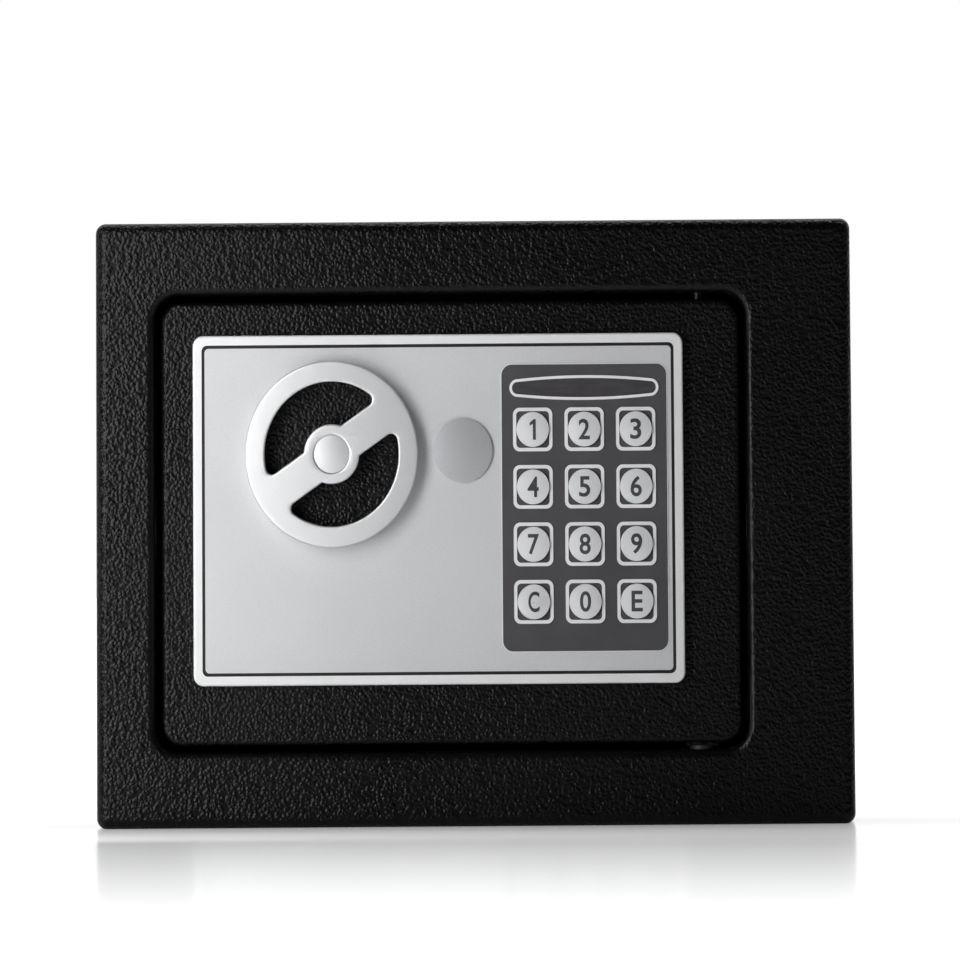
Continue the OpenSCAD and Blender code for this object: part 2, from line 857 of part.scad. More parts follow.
module lock_plug() {
    color("#c8a85a") {
        difference() {
            union() {
                rod(cap_x, cap_z, lock_head_s, lock_head_s + 0.8, plug_r + 0.7);
                rod(cap_x, cap_z, lock_head_s + 0.8, lock_end_s + 0.1, plug_r);
            }
            block([cap_x - 0.7, cap_x + 0.7], [lock_head_s - eps, lock_head_s + 9],
                [cap_z - 2.8, cap_z + 2.8]);
        }
        block([cap_x - 3, cap_x + 3], [lock_end_s + 0.1, lock_end_s + 0.1 + cam_t],
            [cap_z - 3, cap_z + 3]);
    }
}

module lock_nut() {
    color("#c5c8cc")
        difference() {
            slab(door_s1, door_s1 + 3)
                translate([cap_x, cap_z])
                    circle(barrel_r + 3.8, $fn = 6);
            rod(cap_x, cap_z, door_s1 - eps, door_s1 + 3 + eps, barrel_r);
        }
}

// Lever on the lock's plug; points up while the key is out.
module lock_cam() {
    color("#8f9397")
        slab(lock_end_s + 0.1, lock_end_s + 0.1 + cam_t)
            translate([cap_x, cap_z])
                difference() {
                    union() {
                        circle(6);
                        translate([-3.5, 0])
                            square([7, 13]);
                        translate([0, 13])
                            circle(3.5);
                    }
                    square(6, center = true);
                }
}

module keyhole_cap() {
    color("#b4b7ba")
        difference() {
            union() {
                turned(cap_x, cap_z, field_s)
                    dome_profile(cap_r, 0.9, 0.6);
                rod(cap_x, cap_z, field_s, lock_head_s - 0.1, cap_r - 1.55);
            }
            rod(cap_x, cap_z, field_s + 0.4, lock_head_s, cap_r - 3);
        }
}

// Outline of the panel's surface, set in by d.
module fascia_outline(d) {
    round_rect(fascia_x0 + d, fascia_z0 + d, fascia_x1 - d, fascia_z1 - d,
        max(fascia_r - d / 2, 1));
}

module pad_outline(d, r) {
    round_rect(pad_x - pad_w / 2 + d, pad_z - pad_h / 2 + d, pad_x + pad_w / 2 - d,
        pad_z + pad_h / 2 - d, r);
}

// Outline of the display window, set in by d: two flat arcs between round ends.
module window_outline(d) {
    end_x = window_w / 2 - window_end_r;
    rise = window_h / 2 - window_end_r;
    arc = (end_x * end_x + rise * rise) / (2 * rise);
    translate([pad_x, window_z]) {
        intersection() {
            translate([0, window_h / 2 - arc])
                circle(arc - d, $fn = 1440);
            translate([0, arc - window_h / 2])
                circle(arc - d, $fn = 1440);
            square([2 * end_x, window_h], center = true);
        }
        for (side = [-1, 1])
            translate([side * end_x, 0])
                circle(window_end_r - d);
    }
}

// Place of a key: column from the left, row from the bottom.
function key_x(column) = pad_x + (column - 1) * key_dx;
function key_z(row) = key_z0 + (row - 3) * key_dz;

module key_holes(s0, s1) {
    for (column = [0:2], row = [0:3])
        rod(key_x(column), key_z(row), s0, s1, key_r + key_fit);
}

module fascia() {
    color("#c9cbce") {
        difference() {
            soft_plate(fascia_x0, fascia_z0, fascia_x1, fascia_z1, fascia_s, door_s0, fascia_r,
                0.6);
            slab(fascia_s - eps, field_s)
                fascia_outline(rim_w);
            slab(fascia_s - eps, field_s + 0.4)
                difference() {
                    fascia_outline(rim_w);
                    fascia_outline(rim_w + inlay_w);
                }
            slab(fascia_s - eps, plate_s1)
                pad_outline(0, 3.2);
            rod(knob_x, knob_z, fascia_s - eps, door_s0 + eps, knob_r - 3.8);
            rod(cap_x, cap_z, fascia_s - eps, door_s0 + eps, cap_r - 1.5);
            rod(cap_x, cap_z, lock_head_s - 0.1, door_s0 + eps, cap_r + 0.3);
            slab(web_s1, door_s0 + eps)
                pad_rect(skirt_w - 2 * skirt_t, skirt_h - 2 * skirt_t);
            key_holes(plate_s0, web_s1 + eps);
            rod(pad_x - 15, window_z, plate_s0, web_s1 + eps, 1.7);
        }
        difference() {
            slab(web_s1, board_s0)
                pad_rect(skirt_w, skirt_h);
            slab(web_s1 - eps, board_s0 + eps)
                pad_rect(skirt_w - 2 * skirt_t, skirt_h - 2 * skirt_t);
        }
        for (x = boss_x, z = boss_z)
            difference() {
                rod(x, z, door_s0 - 0.5, door_s1, boss_r);
                rod(x, z, door_s0, door_s1 + eps, 1.2);
            }
    }
}

module pad_rect(w, h) {
    round_rect(pad_x - w / 2, pad_z - h / 2, pad_x + w / 2, pad_z + h / 2, 1.5);
}

module fascia_inlay() {
    color("#1d1d1f")
        slab(field_s, field_s + 0.4)
            difference() {
                fascia_outline(rim_w);
                fascia_outline(rim_w + inlay_w);
            }
}

module fascia_screws() {
    color("#c5c8cc")
        for (x = boss_x, z = boss_z)
            screw_from_back(x, z, door_s1, 3.4, 1.8, 1.2, 2.6);
}

module keypad_plate() {
    color("#4a484b")
        difference() {
            soft_plate(pad_x - pad_w / 2, pad_z - pad_h / 2, pad_x + pad_w / 2,
                pad_z + pad_h / 2, plate_s0, plate_s1, 3.2, 0.3);
            key_holes(plate_s0 - eps, plate_s1 + eps);
            slab(plate_s0 - eps, plate_s1 + eps)
                window_outline(trim_w);
        }
}

// Raised light lines on the keypad plate: one frame a key and one round the window.
module keypad_trim() {
    color("#dcdee0")
        slab(plate_s0 - trim_t, plate_s0) {
            for (column = [0:2], row = [0:3])
                key_frame(key_x(column), key_z(row));
            difference() {
                window_outline(0);
                window_outline(trim_w);
            }
        }
}

module key_frame(x, z) {
    half_w = key_r + 1.1;
    half_h = key_r + 1.25;
    difference() {
        round_rect(x - half_w, z - half_h, x + half_w, z + half_h, 2);
        round_rect(x - half_w + 1, z - half_h + 1, x + half_w - 1, z + half_h - 1, 1.2);
    }
}

module window_lens() {
    color("#2c2c30", 0.6)
        slab(plate_s0 - 0.05, plate_s1)
            window_outline(trim_w);
}

module status_led() {
    color("#c23a30") {
        turned(pad_x - 15, window_z, board_s0)
            dome_profile(1.5, board_s0 - plate_s1 - 1.6, 1.4);
    }
}

// Soft sheet between keys and board, open under the light.
module keypad_mat() {
    color("#b9bab6")
        slab(mat_s0, board_s0)
            difference() {
                pad_rect(skirt_w - 2 * skirt_t - 0.4, skirt_h - 2 * skirt_t - 0.4);
                translate([pad_x - 15, window_z])
                    circle(1.8);
            }
}

module circuit_board() {
    color("#2f6b3c") {
        slab(board_s0, board_s1)
            pad_rect(skirt_w, skirt_h);
        block([pad_x - 9, pad_x + 4], [board_s1, board_s1 + 2.4], [pad_z - 6, pad_z + 3]);
        rod(pad_x + 12, pad_z + 11, board_s1, board_s1 + 5, 5);
        block([lead_x[0] - 12, lead_x[1] + 2], [board_s1, board_s1 + 3],
            [lead_z - 2, lead_z + 2]);
    }
}

module key_at(column, row) {
    color("#dfe1e3") {
        turned(key_x(column), key_z(row), key_s0)
            dome_profile(key_r, key_s0 - plate_s0 + 1.2, 0.6);
        rod(key_x(column), key_z(row), key_s0, key_s0 + key_flange_t, key_flange_r);
    }
}

module key_1() {
    key_at(0, 3);
}

module key_2() {
    key_at(1, 3);
}

module key_3() {
    key_at(2, 3);
}

module key_4() {
    key_at(0, 2);
}

module key_5() {
    key_at(1, 2);
}

module key_6() {
    key_at(2, 2);
}

module key_7() {
    key_at(0, 1);
}

module key_8() {
    key_at(1, 1);
}

module key_9() {
    key_at(2, 1);
}

module key_c() {
    key_at(0, 0);
}

module key_0() {
    key_at(1, 0);
}

module key_e() {
    key_at(2, 0);
}

module battery_box() {
    color("#2b2b2e")
        difference() {
            block([box_x0, box_x1], [box_s0, box_s1], [box_z0, box_z1]);
            block([box_x0 + box_wall, box_x1 - box_wall], [box_s0 + box_wall, box_s1 + eps],
                [box_z0 + box_wall, box_z1 - box_wall]);
        }
}

// Middle height of a battery cell.
function cell_z(i) = (box_z0 + box_z1) / 2 + (i - (cells - 1) / 2) * cell_pitch;

module batteries() {
    mid_x = (box_x0 + box_x1) / 2;
    color("#b07c3c")
        for (i = [0:cells - 1])
            translate([mid_x, front_y + cell_s, cell_z(i)])
                rotate([0, i % 2 == 0 ? 90 : -90, 0])
                    translate([0, 0, -cell_l / 2]) {
                        cylinder(h = cell_l - 1.2, r = cell_r);
                        translate([0, 0, cell_l - 1.2])
                            cylinder(h = 1.2, r = 2.7);
                    }
}

// Plates at both ends of the cells, with the springs' short coils as rings.
module battery_contacts() {
    mid_x = (box_x0 + box_x1) / 2;
    gap = (box_w - 2 * box_wall - cell_l) / 2;
    color("#c5c8cc")
        for (i = [0:cells - 1], end = [0, 1])
            translate([mid_x, front_y + cell_s, cell_z(i)])
                mirror([end, 0, 0])
                    translate([cell_l / 2, 0, 0]) {
                        translate([gap - 0.4, -5, -5])
                            cube([0.4, 10, 10]);
                        rotate([0, 90, 0])
                            cylinder(h = gap - 0.4, r1 = 2, r2 = 3.5);
                    }
}

module battery_cover() {
    color("#2b2b2e")
        difference() {
            union() {
                slab(cover_s, cover_s + 1.6)
                    round_rect(box_x0 - 1, box_z0 - 1, box_x1 + 1, box_z1 + 1, 2);
                slab(cover_s - cover_t - 0.6, cover_s + 0.4)
                    round_rect(box_x0 + box_wall + 0.3, box_z0 + box_wall + 0.3,
                        box_x1 - box_wall - 0.3, box_z1 - box_wall - 0.3, 1.2);
            }
            slab(cover_s - cover_t - 0.6 - eps, cover_s)
                round_rect(box_x0 + box_wall + 1.8, box_z0 + box_wall + 1.8,
                    box_x1 - box_wall - 1.8, box_z1 - box_wall - 1.8, 1);
            for (i = [0:5])
                block([box_x0 + 5, box_x0 + 13], [cover_s + 1, cover_s + 1.6 + eps],
                    [cell_z(1.5) - 6 + 2.2 * i, cell_z(1.5) - 5 + 2.2 * i]);
        }
}

module reset_switch() {
    color("#232325")
        difference() {
            block([reset_x - 6, reset_x + 6], [box_s1 - 7, box_s1], [reset_z - 6, reset_z + 6]);
            rod(reset_x, reset_z, box_s1 - 5.5, box_s1 - 1.2, reset_r + 1.2);
            rod(reset_x, reset_z, box_s1 - 1.5, box_s1 + eps, reset_r + run_fit);
        }
}

module reset_button() {
    color("#b8322a") {
        rod(reset_x, reset_z, box_s1 - 2.3, box_s1 - 1.3, reset_r + 0.9);
        rod(reset_x, reset_z, box_s1 - 2.3, cover_s + 2, reset_r);
    }
}

// Round wire through the given [x, depth, z] points.
module wire(points, r) {
    for (i = [0:len(points) - 2]) {
        a = points[i];
        d = points[i + 1] - a;
        l = norm(d);
        translate([a[0], front_y + a[1], a[2]])
            rotate([0, acos(d[2] / l), atan2(d[1], d[0])])
                cylinder(h = l, r = r);
    }
    for (i = [1:len(points) - 2])
        translate([points[i][0], front_y + points[i][1], points[i][2]])
            sphere(r);
}

// Wires from the board to the batteries, the solenoid and the reset switch.
module wire_harness() {
    run_s = door_s1 + 5;
    coil_in = [coil_x + coil_r, coil_s, frame_z0 + 8];
    color("#a8322c")
        for (x = lead_x)
            wire([[x, board_s1 + 3, lead_z], [x, box_s0, lead_z]], 0.8);
    color("#202022")
        for (i = [0, 1])
            wire([[lead_x[0] - 9 + 3 * i, board_s1 + 3, lead_z],
                [lead_x[0] - 9 + 3 * i, run_s + 3 * i, lead_z],
                [coil_x + 20 + 3 * i, run_s + 3 * i, lead_z],
                [coil_x + 20 + 3 * i, run_s + 3 * i, coil_in[2] + 3 * i],
                [coil_x + 20 + 3 * i, coil_s, coil_in[2] + 3 * i],
                [coil_in[0], coil_s, coil_in[2] + 3 * i]], 0.8);
    color("#202022")
        for (dz = [-2, 2])
            wire([[reset_x, board_s1, reset_z + dz], [reset_x, box_s1 - 7, reset_z + dz]], 0.8);
}

body_shell();
front_frame();
back_panel();
floor_mat();
hinge_pins();
hinge_washer();
door_plate();
hinge_lugs();
door_cover();
cover_studs();
cover_screws();
bolt_guide();
guide_studs();
carriage_screws();
bolt_carriage();
locking_bolts();
bolt_screws();
spindle();
spindle_bush();
crank();
knob();
knob_cap();
knob_screw();
solenoid_frame();
solenoid_coil();
plunger();
plunger_spring();
lock_cylinder();
lock_plug();
lock_nut();
lock_cam();
keyhole_cap();
fascia();
fascia_inlay();
fascia_screws();
keypad_plate();
keypad_trim();
window_lens();
status_led();
keypad_mat();
circuit_board();
key_1();
key_2();
key_3();
key_4();
key_5();
key_6();
key_7();
key_8();
key_9();
key_c();
key_0();
key_e();
battery_box();
batteries();
battery_contacts();
battery_cover();
reset_switch();
reset_button();
wire_harness();
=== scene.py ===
import json
import math

import bmesh
import bpy
from mathutils import Matrix, Vector


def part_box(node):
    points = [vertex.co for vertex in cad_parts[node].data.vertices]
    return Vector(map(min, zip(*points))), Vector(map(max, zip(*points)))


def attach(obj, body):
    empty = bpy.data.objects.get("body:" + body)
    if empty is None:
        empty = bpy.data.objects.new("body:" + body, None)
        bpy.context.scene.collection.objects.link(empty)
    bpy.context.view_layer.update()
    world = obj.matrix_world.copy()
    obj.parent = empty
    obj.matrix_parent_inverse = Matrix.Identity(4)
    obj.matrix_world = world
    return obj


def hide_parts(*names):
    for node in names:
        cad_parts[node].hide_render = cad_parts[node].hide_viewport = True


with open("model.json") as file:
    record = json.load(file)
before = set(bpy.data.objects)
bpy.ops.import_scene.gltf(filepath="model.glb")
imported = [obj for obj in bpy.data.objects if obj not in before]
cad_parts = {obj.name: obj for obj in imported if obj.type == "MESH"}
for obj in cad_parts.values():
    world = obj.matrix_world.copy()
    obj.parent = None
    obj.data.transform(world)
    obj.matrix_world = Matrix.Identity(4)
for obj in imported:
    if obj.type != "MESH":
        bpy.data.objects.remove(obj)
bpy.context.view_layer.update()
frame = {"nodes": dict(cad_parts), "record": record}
record = frame["record"]
nodes = frame["nodes"]
bodyOfNode = {n: b for b, ns in record["behaviour"]["bodies"].items() for n in ns}
slotOfNode = {part["node"]: part["material_slot"] for part in record["subparts"]}
mm = 0.001
weld = 0.002 * mm
keyNames = ["1", "2", "3", "4", "5", "6", "7", "8", "9", "c", "0", "e"]
print("frame loaded,", len(nodes), "parts")


def toLinear(code):
    # sRGB hex to the linear values that the shaders take
    parts = [int(code[i:i + 2], 16) / 255 for i in (1, 3, 5)]
    return tuple([p / 12.92 if p <= 0.04045 else ((p + 0.055) / 1.055) ** 2.4 for p in parts] + [1.0])


def add(tree, kind, inputs=None, stops=(), **settings):
    # one node with its settings and links; an input is a value, another node or one of its outputs
    node = tree.nodes.new(kind)
    for name, value in settings.items():
        setattr(node, name, value)
    for name, value in (inputs or {}).items():
        if isinstance(value, bpy.types.Node):
            value = value.outputs[0]
        if isinstance(value, bpy.types.NodeSocket):
            tree.links.new(value, node.inputs[name])
        else:
            node.inputs[name].default_value = value
    for i, (position, colour) in enumerate(stops):
        stop = node.color_ramp.elements[i] if i < 2 else node.color_ramp.elements.new(position)
        stop.position, stop.color = position, colour
    return node


# noise spends most of its area between these two values, so colours and shine run between them
noiseMiddle = {"From Min": 0.3, "From Max": 0.7}


def shades(dark, light):
    return [(noiseMiddle["From Min"], toLinear(dark)), (noiseMiddle["From Max"], toLinear(light))]


def startMaterial(name):
    # an empty material, its nodes and the object's own coordinates
    material = bpy.data.materials.new(name)
    material.use_nodes = True
    tree = material.node_tree
    tree.nodes.clear()
    return material, tree, add(tree, "ShaderNodeTexCoord").outputs["Object"]


def finishMaterial(tree, inputs):
    surface = add(tree, "ShaderNodeBsdfPrincipled", inputs)
    add(tree, "ShaderNodeOutputMaterial", {"Surface": surface})


def rimDistance(tree, node, corner):
    # metres outside a node's rounded outline, seen square on; less than zero inside it
    low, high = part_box(node)
    middle, half = (low + high) / 2, (high - low) / 2
    place = add(tree, "ShaderNodeTexCoord").outputs["Object"]
    flat = add(tree, "ShaderNodeVectorMath", {0: place, 1: (middle.x, 0, middle.z)}, operation="SUBTRACT")
    flat = add(tree, "ShaderNodeVectorMath", {0: flat, 1: (1, 0, 1)}, operation="MULTIPLY")
    flat = add(tree, "ShaderNodeVectorMath", {0: flat}, operation="ABSOLUTE")
    past = add(tree, "ShaderNodeVectorMath", {0: flat, 1: (half.x - corner, 0, half.z - corner)},
               operation="SUBTRACT")
    past = add(tree, "ShaderNodeVectorMath", {0: past, 1: (0, 0, 0)}, operation="MAXIMUM")
    length = add(tree, "ShaderNodeVectorMath", {0: past}, operation="LENGTH").outputs["Value"]
    return add(tree, "ShaderNodeMath", {0: length, 1: corner}, operation="SUBTRACT")


coat = {"cell": 1.05 * mm, "smoothness": 0.35, "depth": 0.22 * mm, "swayCell": 1.6 * mm, "sway": 0.9 * mm,
        "fold": 2.2 * mm, "foldShare": 0.3, "patch": 45 * mm, "cornerRadius": 6 * mm, "lip": 4.6 * mm,
        "lipFade": 0.75, "lipGrain": 0.3}


def wrinkleCoat(name, dark, light, gloss, lipSmooth=False):
    # epoxy-polyester powder coat with a leather grain: swollen lumps about 1 mm apart with narrow
    # creases between them, and half-gloss tops that catch the light one by one
    material, tree, place = startMaterial(name)
    sway = add(tree, "ShaderNodeTexNoise", {"Vector": place, "Scale": 1 / coat["swayCell"], "Detail": 1.0})
    sway = add(tree, "ShaderNodeVectorMath", {0: sway.outputs["Color"], 1: (0.5, 0.5, 0.5)},
               operation="SUBTRACT")
    sway = add(tree, "ShaderNodeVectorMath", {0: sway, "Scale": coat["sway"]}, operation="SCALE")
    bent = add(tree, "ShaderNodeVectorMath", {0: place, 1: sway}, operation="ADD")
    lumps = add(tree, "ShaderNodeTexVoronoi", {"Vector": bent, "Scale": 1 / coat["cell"],
                                               "Smoothness": coat["smoothness"]}, feature="SMOOTH_F1")
    lumps = add(tree, "ShaderNodeMapRange", {"Value": lumps, "From Min": 0.15, "From Max": 0.75,
                                             "To Min": 1.0, "To Max": 0.0})
    folds = add(tree, "ShaderNodeTexNoise", {"Vector": place, "Scale": 1 / coat["fold"], "Detail": 2.0})
    height = add(tree, "ShaderNodeMix", {0: coat["foldShare"], 2: lumps, 3: folds}, data_type="FLOAT")
    strength = 1.0
    if lipSmooth:
        away = rimDistance(tree, "door_plate", coat["cornerRadius"])
        strength = add(tree, "ShaderNodeMapRange", {
            "Value": away, "From Min": coat["lip"] * coat["lipFade"], "From Max": coat["lip"],
            "To Min": coat["lipGrain"], "To Max": 1.0})
    patches = add(tree, "ShaderNodeTexNoise", {"Vector": place, "Scale": 1 / coat["patch"], "Detail": 3.0})
    finishMaterial(tree, {
        "Base Color": add(tree, "ShaderNodeValToRGB", {"Fac": folds}, shades(dark, light)),
        "Roughness": add(tree, "ShaderNodeMapRange", {
            **noiseMiddle, "Value": patches, "To Min": gloss - 0.03, "To Max": gloss + 0.05}),
        "Normal": add(tree, "ShaderNodeBump", {"Height": height, "Distance": coat["depth"],
                                               "Strength": strength}),
        "IOR": 1.5, "Specular IOR Level": 0.2})
    return material


def satinCoat(name, dark, light, rough):
    # smooth powder coat: a faint orange peel, no grain
    material, tree, place = startMaterial(name)
    peel = add(tree, "ShaderNodeTexNoise", {"Vector": place, "Scale": 1 / (1.8 * mm), "Detail": 1.0})
    patches = add(tree, "ShaderNodeTexNoise", {"Vector": place, "Scale": 1 / (30 * mm), "Detail": 3.0})
    finishMaterial(tree, {
        "Base Color": add(tree, "ShaderNodeValToRGB", {"Fac": patches}, shades(dark, light)),
        "Roughness": add(tree, "ShaderNodeMapRange", {
            **noiseMiddle, "Value": patches, "To Min": rough - 0.04, "To Max": rough + 0.05}),
        "Normal": add(tree, "ShaderNodeBump", {"Height": peel, "Distance": 0.03 * mm, "Strength": 1.0}),
        "IOR": 1.5})
    return material


def silverLacquer(name, dark, light, rough, flake, metallic):
    # silver lacquer on moulded plastic: fine metal flakes give a sparkle under a satin face
    material, tree, place = startMaterial(name)
    flakes = add(tree, "ShaderNodeTexVoronoi", {"Vector": place, "Scale": 1 / flake, "Randomness": 1.0})
    grain = add(tree, "ShaderNodeTexNoise", {"Vector": place, "Scale": 1 / (flake * 1.6), "Detail": 2.0})
    cloud = add(tree, "ShaderNodeTexNoise", {"Vector": place, "Scale": 1 / (40 * mm), "Detail": 2.0})
    shade = add(tree, "ShaderNodeMix", {0: 0.4, 2: grain, 3: cloud}, data_type="FLOAT")
    height = add(tree, "ShaderNodeMix", {0: 0.5, 2: flakes, 3: grain}, data_type="FLOAT")
    finishMaterial(tree, {
        "Base Color": add(tree, "ShaderNodeValToRGB", {"Fac": shade}, shades(dark, light)),
        "Roughness": add(tree, "ShaderNodeMapRange", {
            **noiseMiddle, "Value": grain, "To Min": rough - 0.05, "To Max": rough + 0.07}),
        "Normal": add(tree, "ShaderNodeBump", {"Height": height, "Distance": 0.02 * mm, "Strength": 1.0}),
        "Metallic": metallic})
    return material


def panelLacquerWithRimHighlight(name, dark, light, rim, rough, flake, metallic):
    # the knob's silver lacquer, with a painted highlight: the raised rim outside the black line is coloured
    # paler, standing in for the light its bevel catches
    material = silverLacquer(name, dark, light, rough, flake, metallic)
    tree = material.node_tree
    surface = next(n for n in tree.nodes if n.type == "BSDF_PRINCIPLED")
    outside = add(tree, "ShaderNodeMapRange", {"Value": rimDistance(tree, "fascia_inlay", 3 * mm),
                                               "From Min": -0.4 * mm, "From Max": 0.1 * mm,
                                               "To Min": 0.0, "To Max": 1.0})
    field = surface.inputs["Base Color"].links[0].from_socket
    # the rim colour is a painted highlight, mixed in outside the black line
    colour = add(tree, "ShaderNodeMix", {0: outside, 6: field, 7: toLinear(rim)}, data_type="RGBA")
    tree.links.new(colour.outputs[2], surface.inputs["Base Color"])
    return material


def mouldedPlastic(name, dark, light, rough, grain=0.25 * mm, depth=0.012 * mm, clear=0.0):
    # injection moulded: a spark-eroded grain on the face and slight sheen changes
    material, tree, place = startMaterial(name)
    texture = add(tree, "ShaderNodeTexNoise", {"Vector": place, "Scale": 1 / grain, "Detail": 2.0})
    patches = add(tree, "ShaderNodeTexNoise", {"Vector": place, "Scale": 1 / (12 * mm), "Detail": 3.0})
    finishMaterial(tree, {
        "Base Color": add(tree, "ShaderNodeValToRGB", {"Fac": patches}, shades(dark, light)),
        "Roughness": add(tree, "ShaderNodeMapRange", {
            **noiseMiddle, "Value": patches, "To Min": rough - 0.04, "To Max": rough + 0.06}),
        "Normal": add(tree, "ShaderNodeBump", {"Height": texture, "Distance": depth, "Strength": 1.0}),
        "IOR": 1.48, "Coat Weight": clear, "Coat Roughness": 0.12})
    return material


def workedMetal(name, dark, light, rough, stretch=(1, 1, 1)):
    # plated or machined metal: tool marks along one direction and dulled patches
    material, tree, place = startMaterial(name)
    drawn = add(tree, "ShaderNodeMapping", {"Vector": place, "Scale": stretch})
    marks = add(tree, "ShaderNodeTexNoise", {"Vector": drawn, "Scale": 1 / (0.5 * mm), "Detail": 3.0,
                                             "Roughness": 0.6})
    patches = add(tree, "ShaderNodeTexNoise", {"Vector": place, "Scale": 1 / (9 * mm), "Detail": 4.0})
    finishMaterial(tree, {
        "Base Color": add(tree, "ShaderNodeValToRGB", {"Fac": patches}, shades(dark, light)),
        "Roughness": add(tree, "ShaderNodeMapRange", {
            **noiseMiddle, "Value": marks, "To Min": rough - 0.06, "To Max": rough + 0.1}),
        "Normal": add(tree, "ShaderNodeBump", {"Height": marks, "Distance": 0.006 * mm, "Strength": 1.0}),
        "Metallic": 1.0})
    return material


def needleFelt(name, dark, light):
    # needled polyester felt: tangled short fibres, no shine, a soft edge of light
    material, tree, place = startMaterial(name)
    tangle = add(tree, "ShaderNodeTexNoise", {"Vector": place, "Scale": 1 / (0.6 * mm), "Detail": 4.0,
                                              "Roughness": 0.7})
    clumps = add(tree, "ShaderNodeTexNoise", {"Vector": place, "Scale": 1 / (5 * mm), "Detail": 3.0})
    shade = add(tree, "ShaderNodeMix", {0: 0.3, 2: tangle, 3: clumps}, data_type="FLOAT")
    finishMaterial(tree, {
        "Base Color": add(tree, "ShaderNodeValToRGB", {"Fac": shade}, shades(dark, light)),
        "Normal": add(tree, "ShaderNodeBump", {"Height": tangle, "Distance": 0.5 * mm, "Strength": 1.0}),
        "Roughness": 0.95, "Sheen Weight": 0.35, "Sheen Roughness": 0.4})
    return material


def windingsWithGrooveShade(name, dark, light):
    # enamelled copper wire wound in even turns up the bobbin, drawn at twice its 0.2 mm so that it shows;
    # the colour follows the turns, with painted shade in the grooves between them and a painted highlight on
    # their crests
    material, tree, place = startMaterial(name)
    turns = add(tree, "ShaderNodeTexWave", {"Vector": place, "Scale": 1 / (0.4 * mm) / 3.14,
                                            "Distortion": 0.4, "Detail": 1.0},
                bands_direction="Z").outputs[1]
    finishMaterial(tree, {
        # the same bands as the bump: darker in the grooves is painted shade, paler on the crests a painted
        # highlight
        "Base Color": add(tree, "ShaderNodeValToRGB", {"Fac": turns}, shades(dark, light)),
        "Normal": add(tree, "ShaderNodeBump", {"Height": turns, "Distance": 0.1 * mm, "Strength": 1.0}),
        "Metallic": 0.7, "Roughness": 0.32})
    return material


def solderMask(name, dark, light):
    # glass-fibre board under green mask: raised tracks show as lighter lines
    material, tree, place = startMaterial(name)
    upright = add(tree, "ShaderNodeMapping", {"Vector": place, "Rotation": (math.pi / 2, 0, 0)})
    tracks = add(tree, "ShaderNodeTexBrick", {"Vector": upright, "Scale": 1 / (6 * mm), "Mortar Size": 0.04,
                                              "Color1": toLinear(dark), "Color2": toLinear(dark),
                                              "Mortar": toLinear(light)})
    finishMaterial(tree, {
        "Base Color": tracks,
        "Normal": add(tree, "ShaderNodeBump", {"Height": tracks.outputs[1], "Distance": 0.04 * mm,
                                               "Strength": 1.0}),
        "Roughness": 0.3, "IOR": 1.5})
    return material


def tintedAcrylic(name, dark, light):
    # dark acrylic, polished and slightly smeared
    material, tree, place = startMaterial(name)
    drawn = add(tree, "ShaderNodeMapping", {"Vector": place, "Scale": (1, 1, 4)})
    smear = add(tree, "ShaderNodeTexNoise", {"Vector": drawn, "Scale": 1 / (6 * mm), "Detail": 3.0})
    finishMaterial(tree, {
        "Base Color": add(tree, "ShaderNodeValToRGB", {"Fac": smear}, shades(dark, light)),
        "Roughness": add(tree, "ShaderNodeMapRange", {**noiseMiddle, "Value": smear, "To Min": 0.12,
                                                      "To Max": 0.22}),
        "IOR": 1.49, "Coat Weight": 0.5, "Coat Roughness": 0.05})
    return material


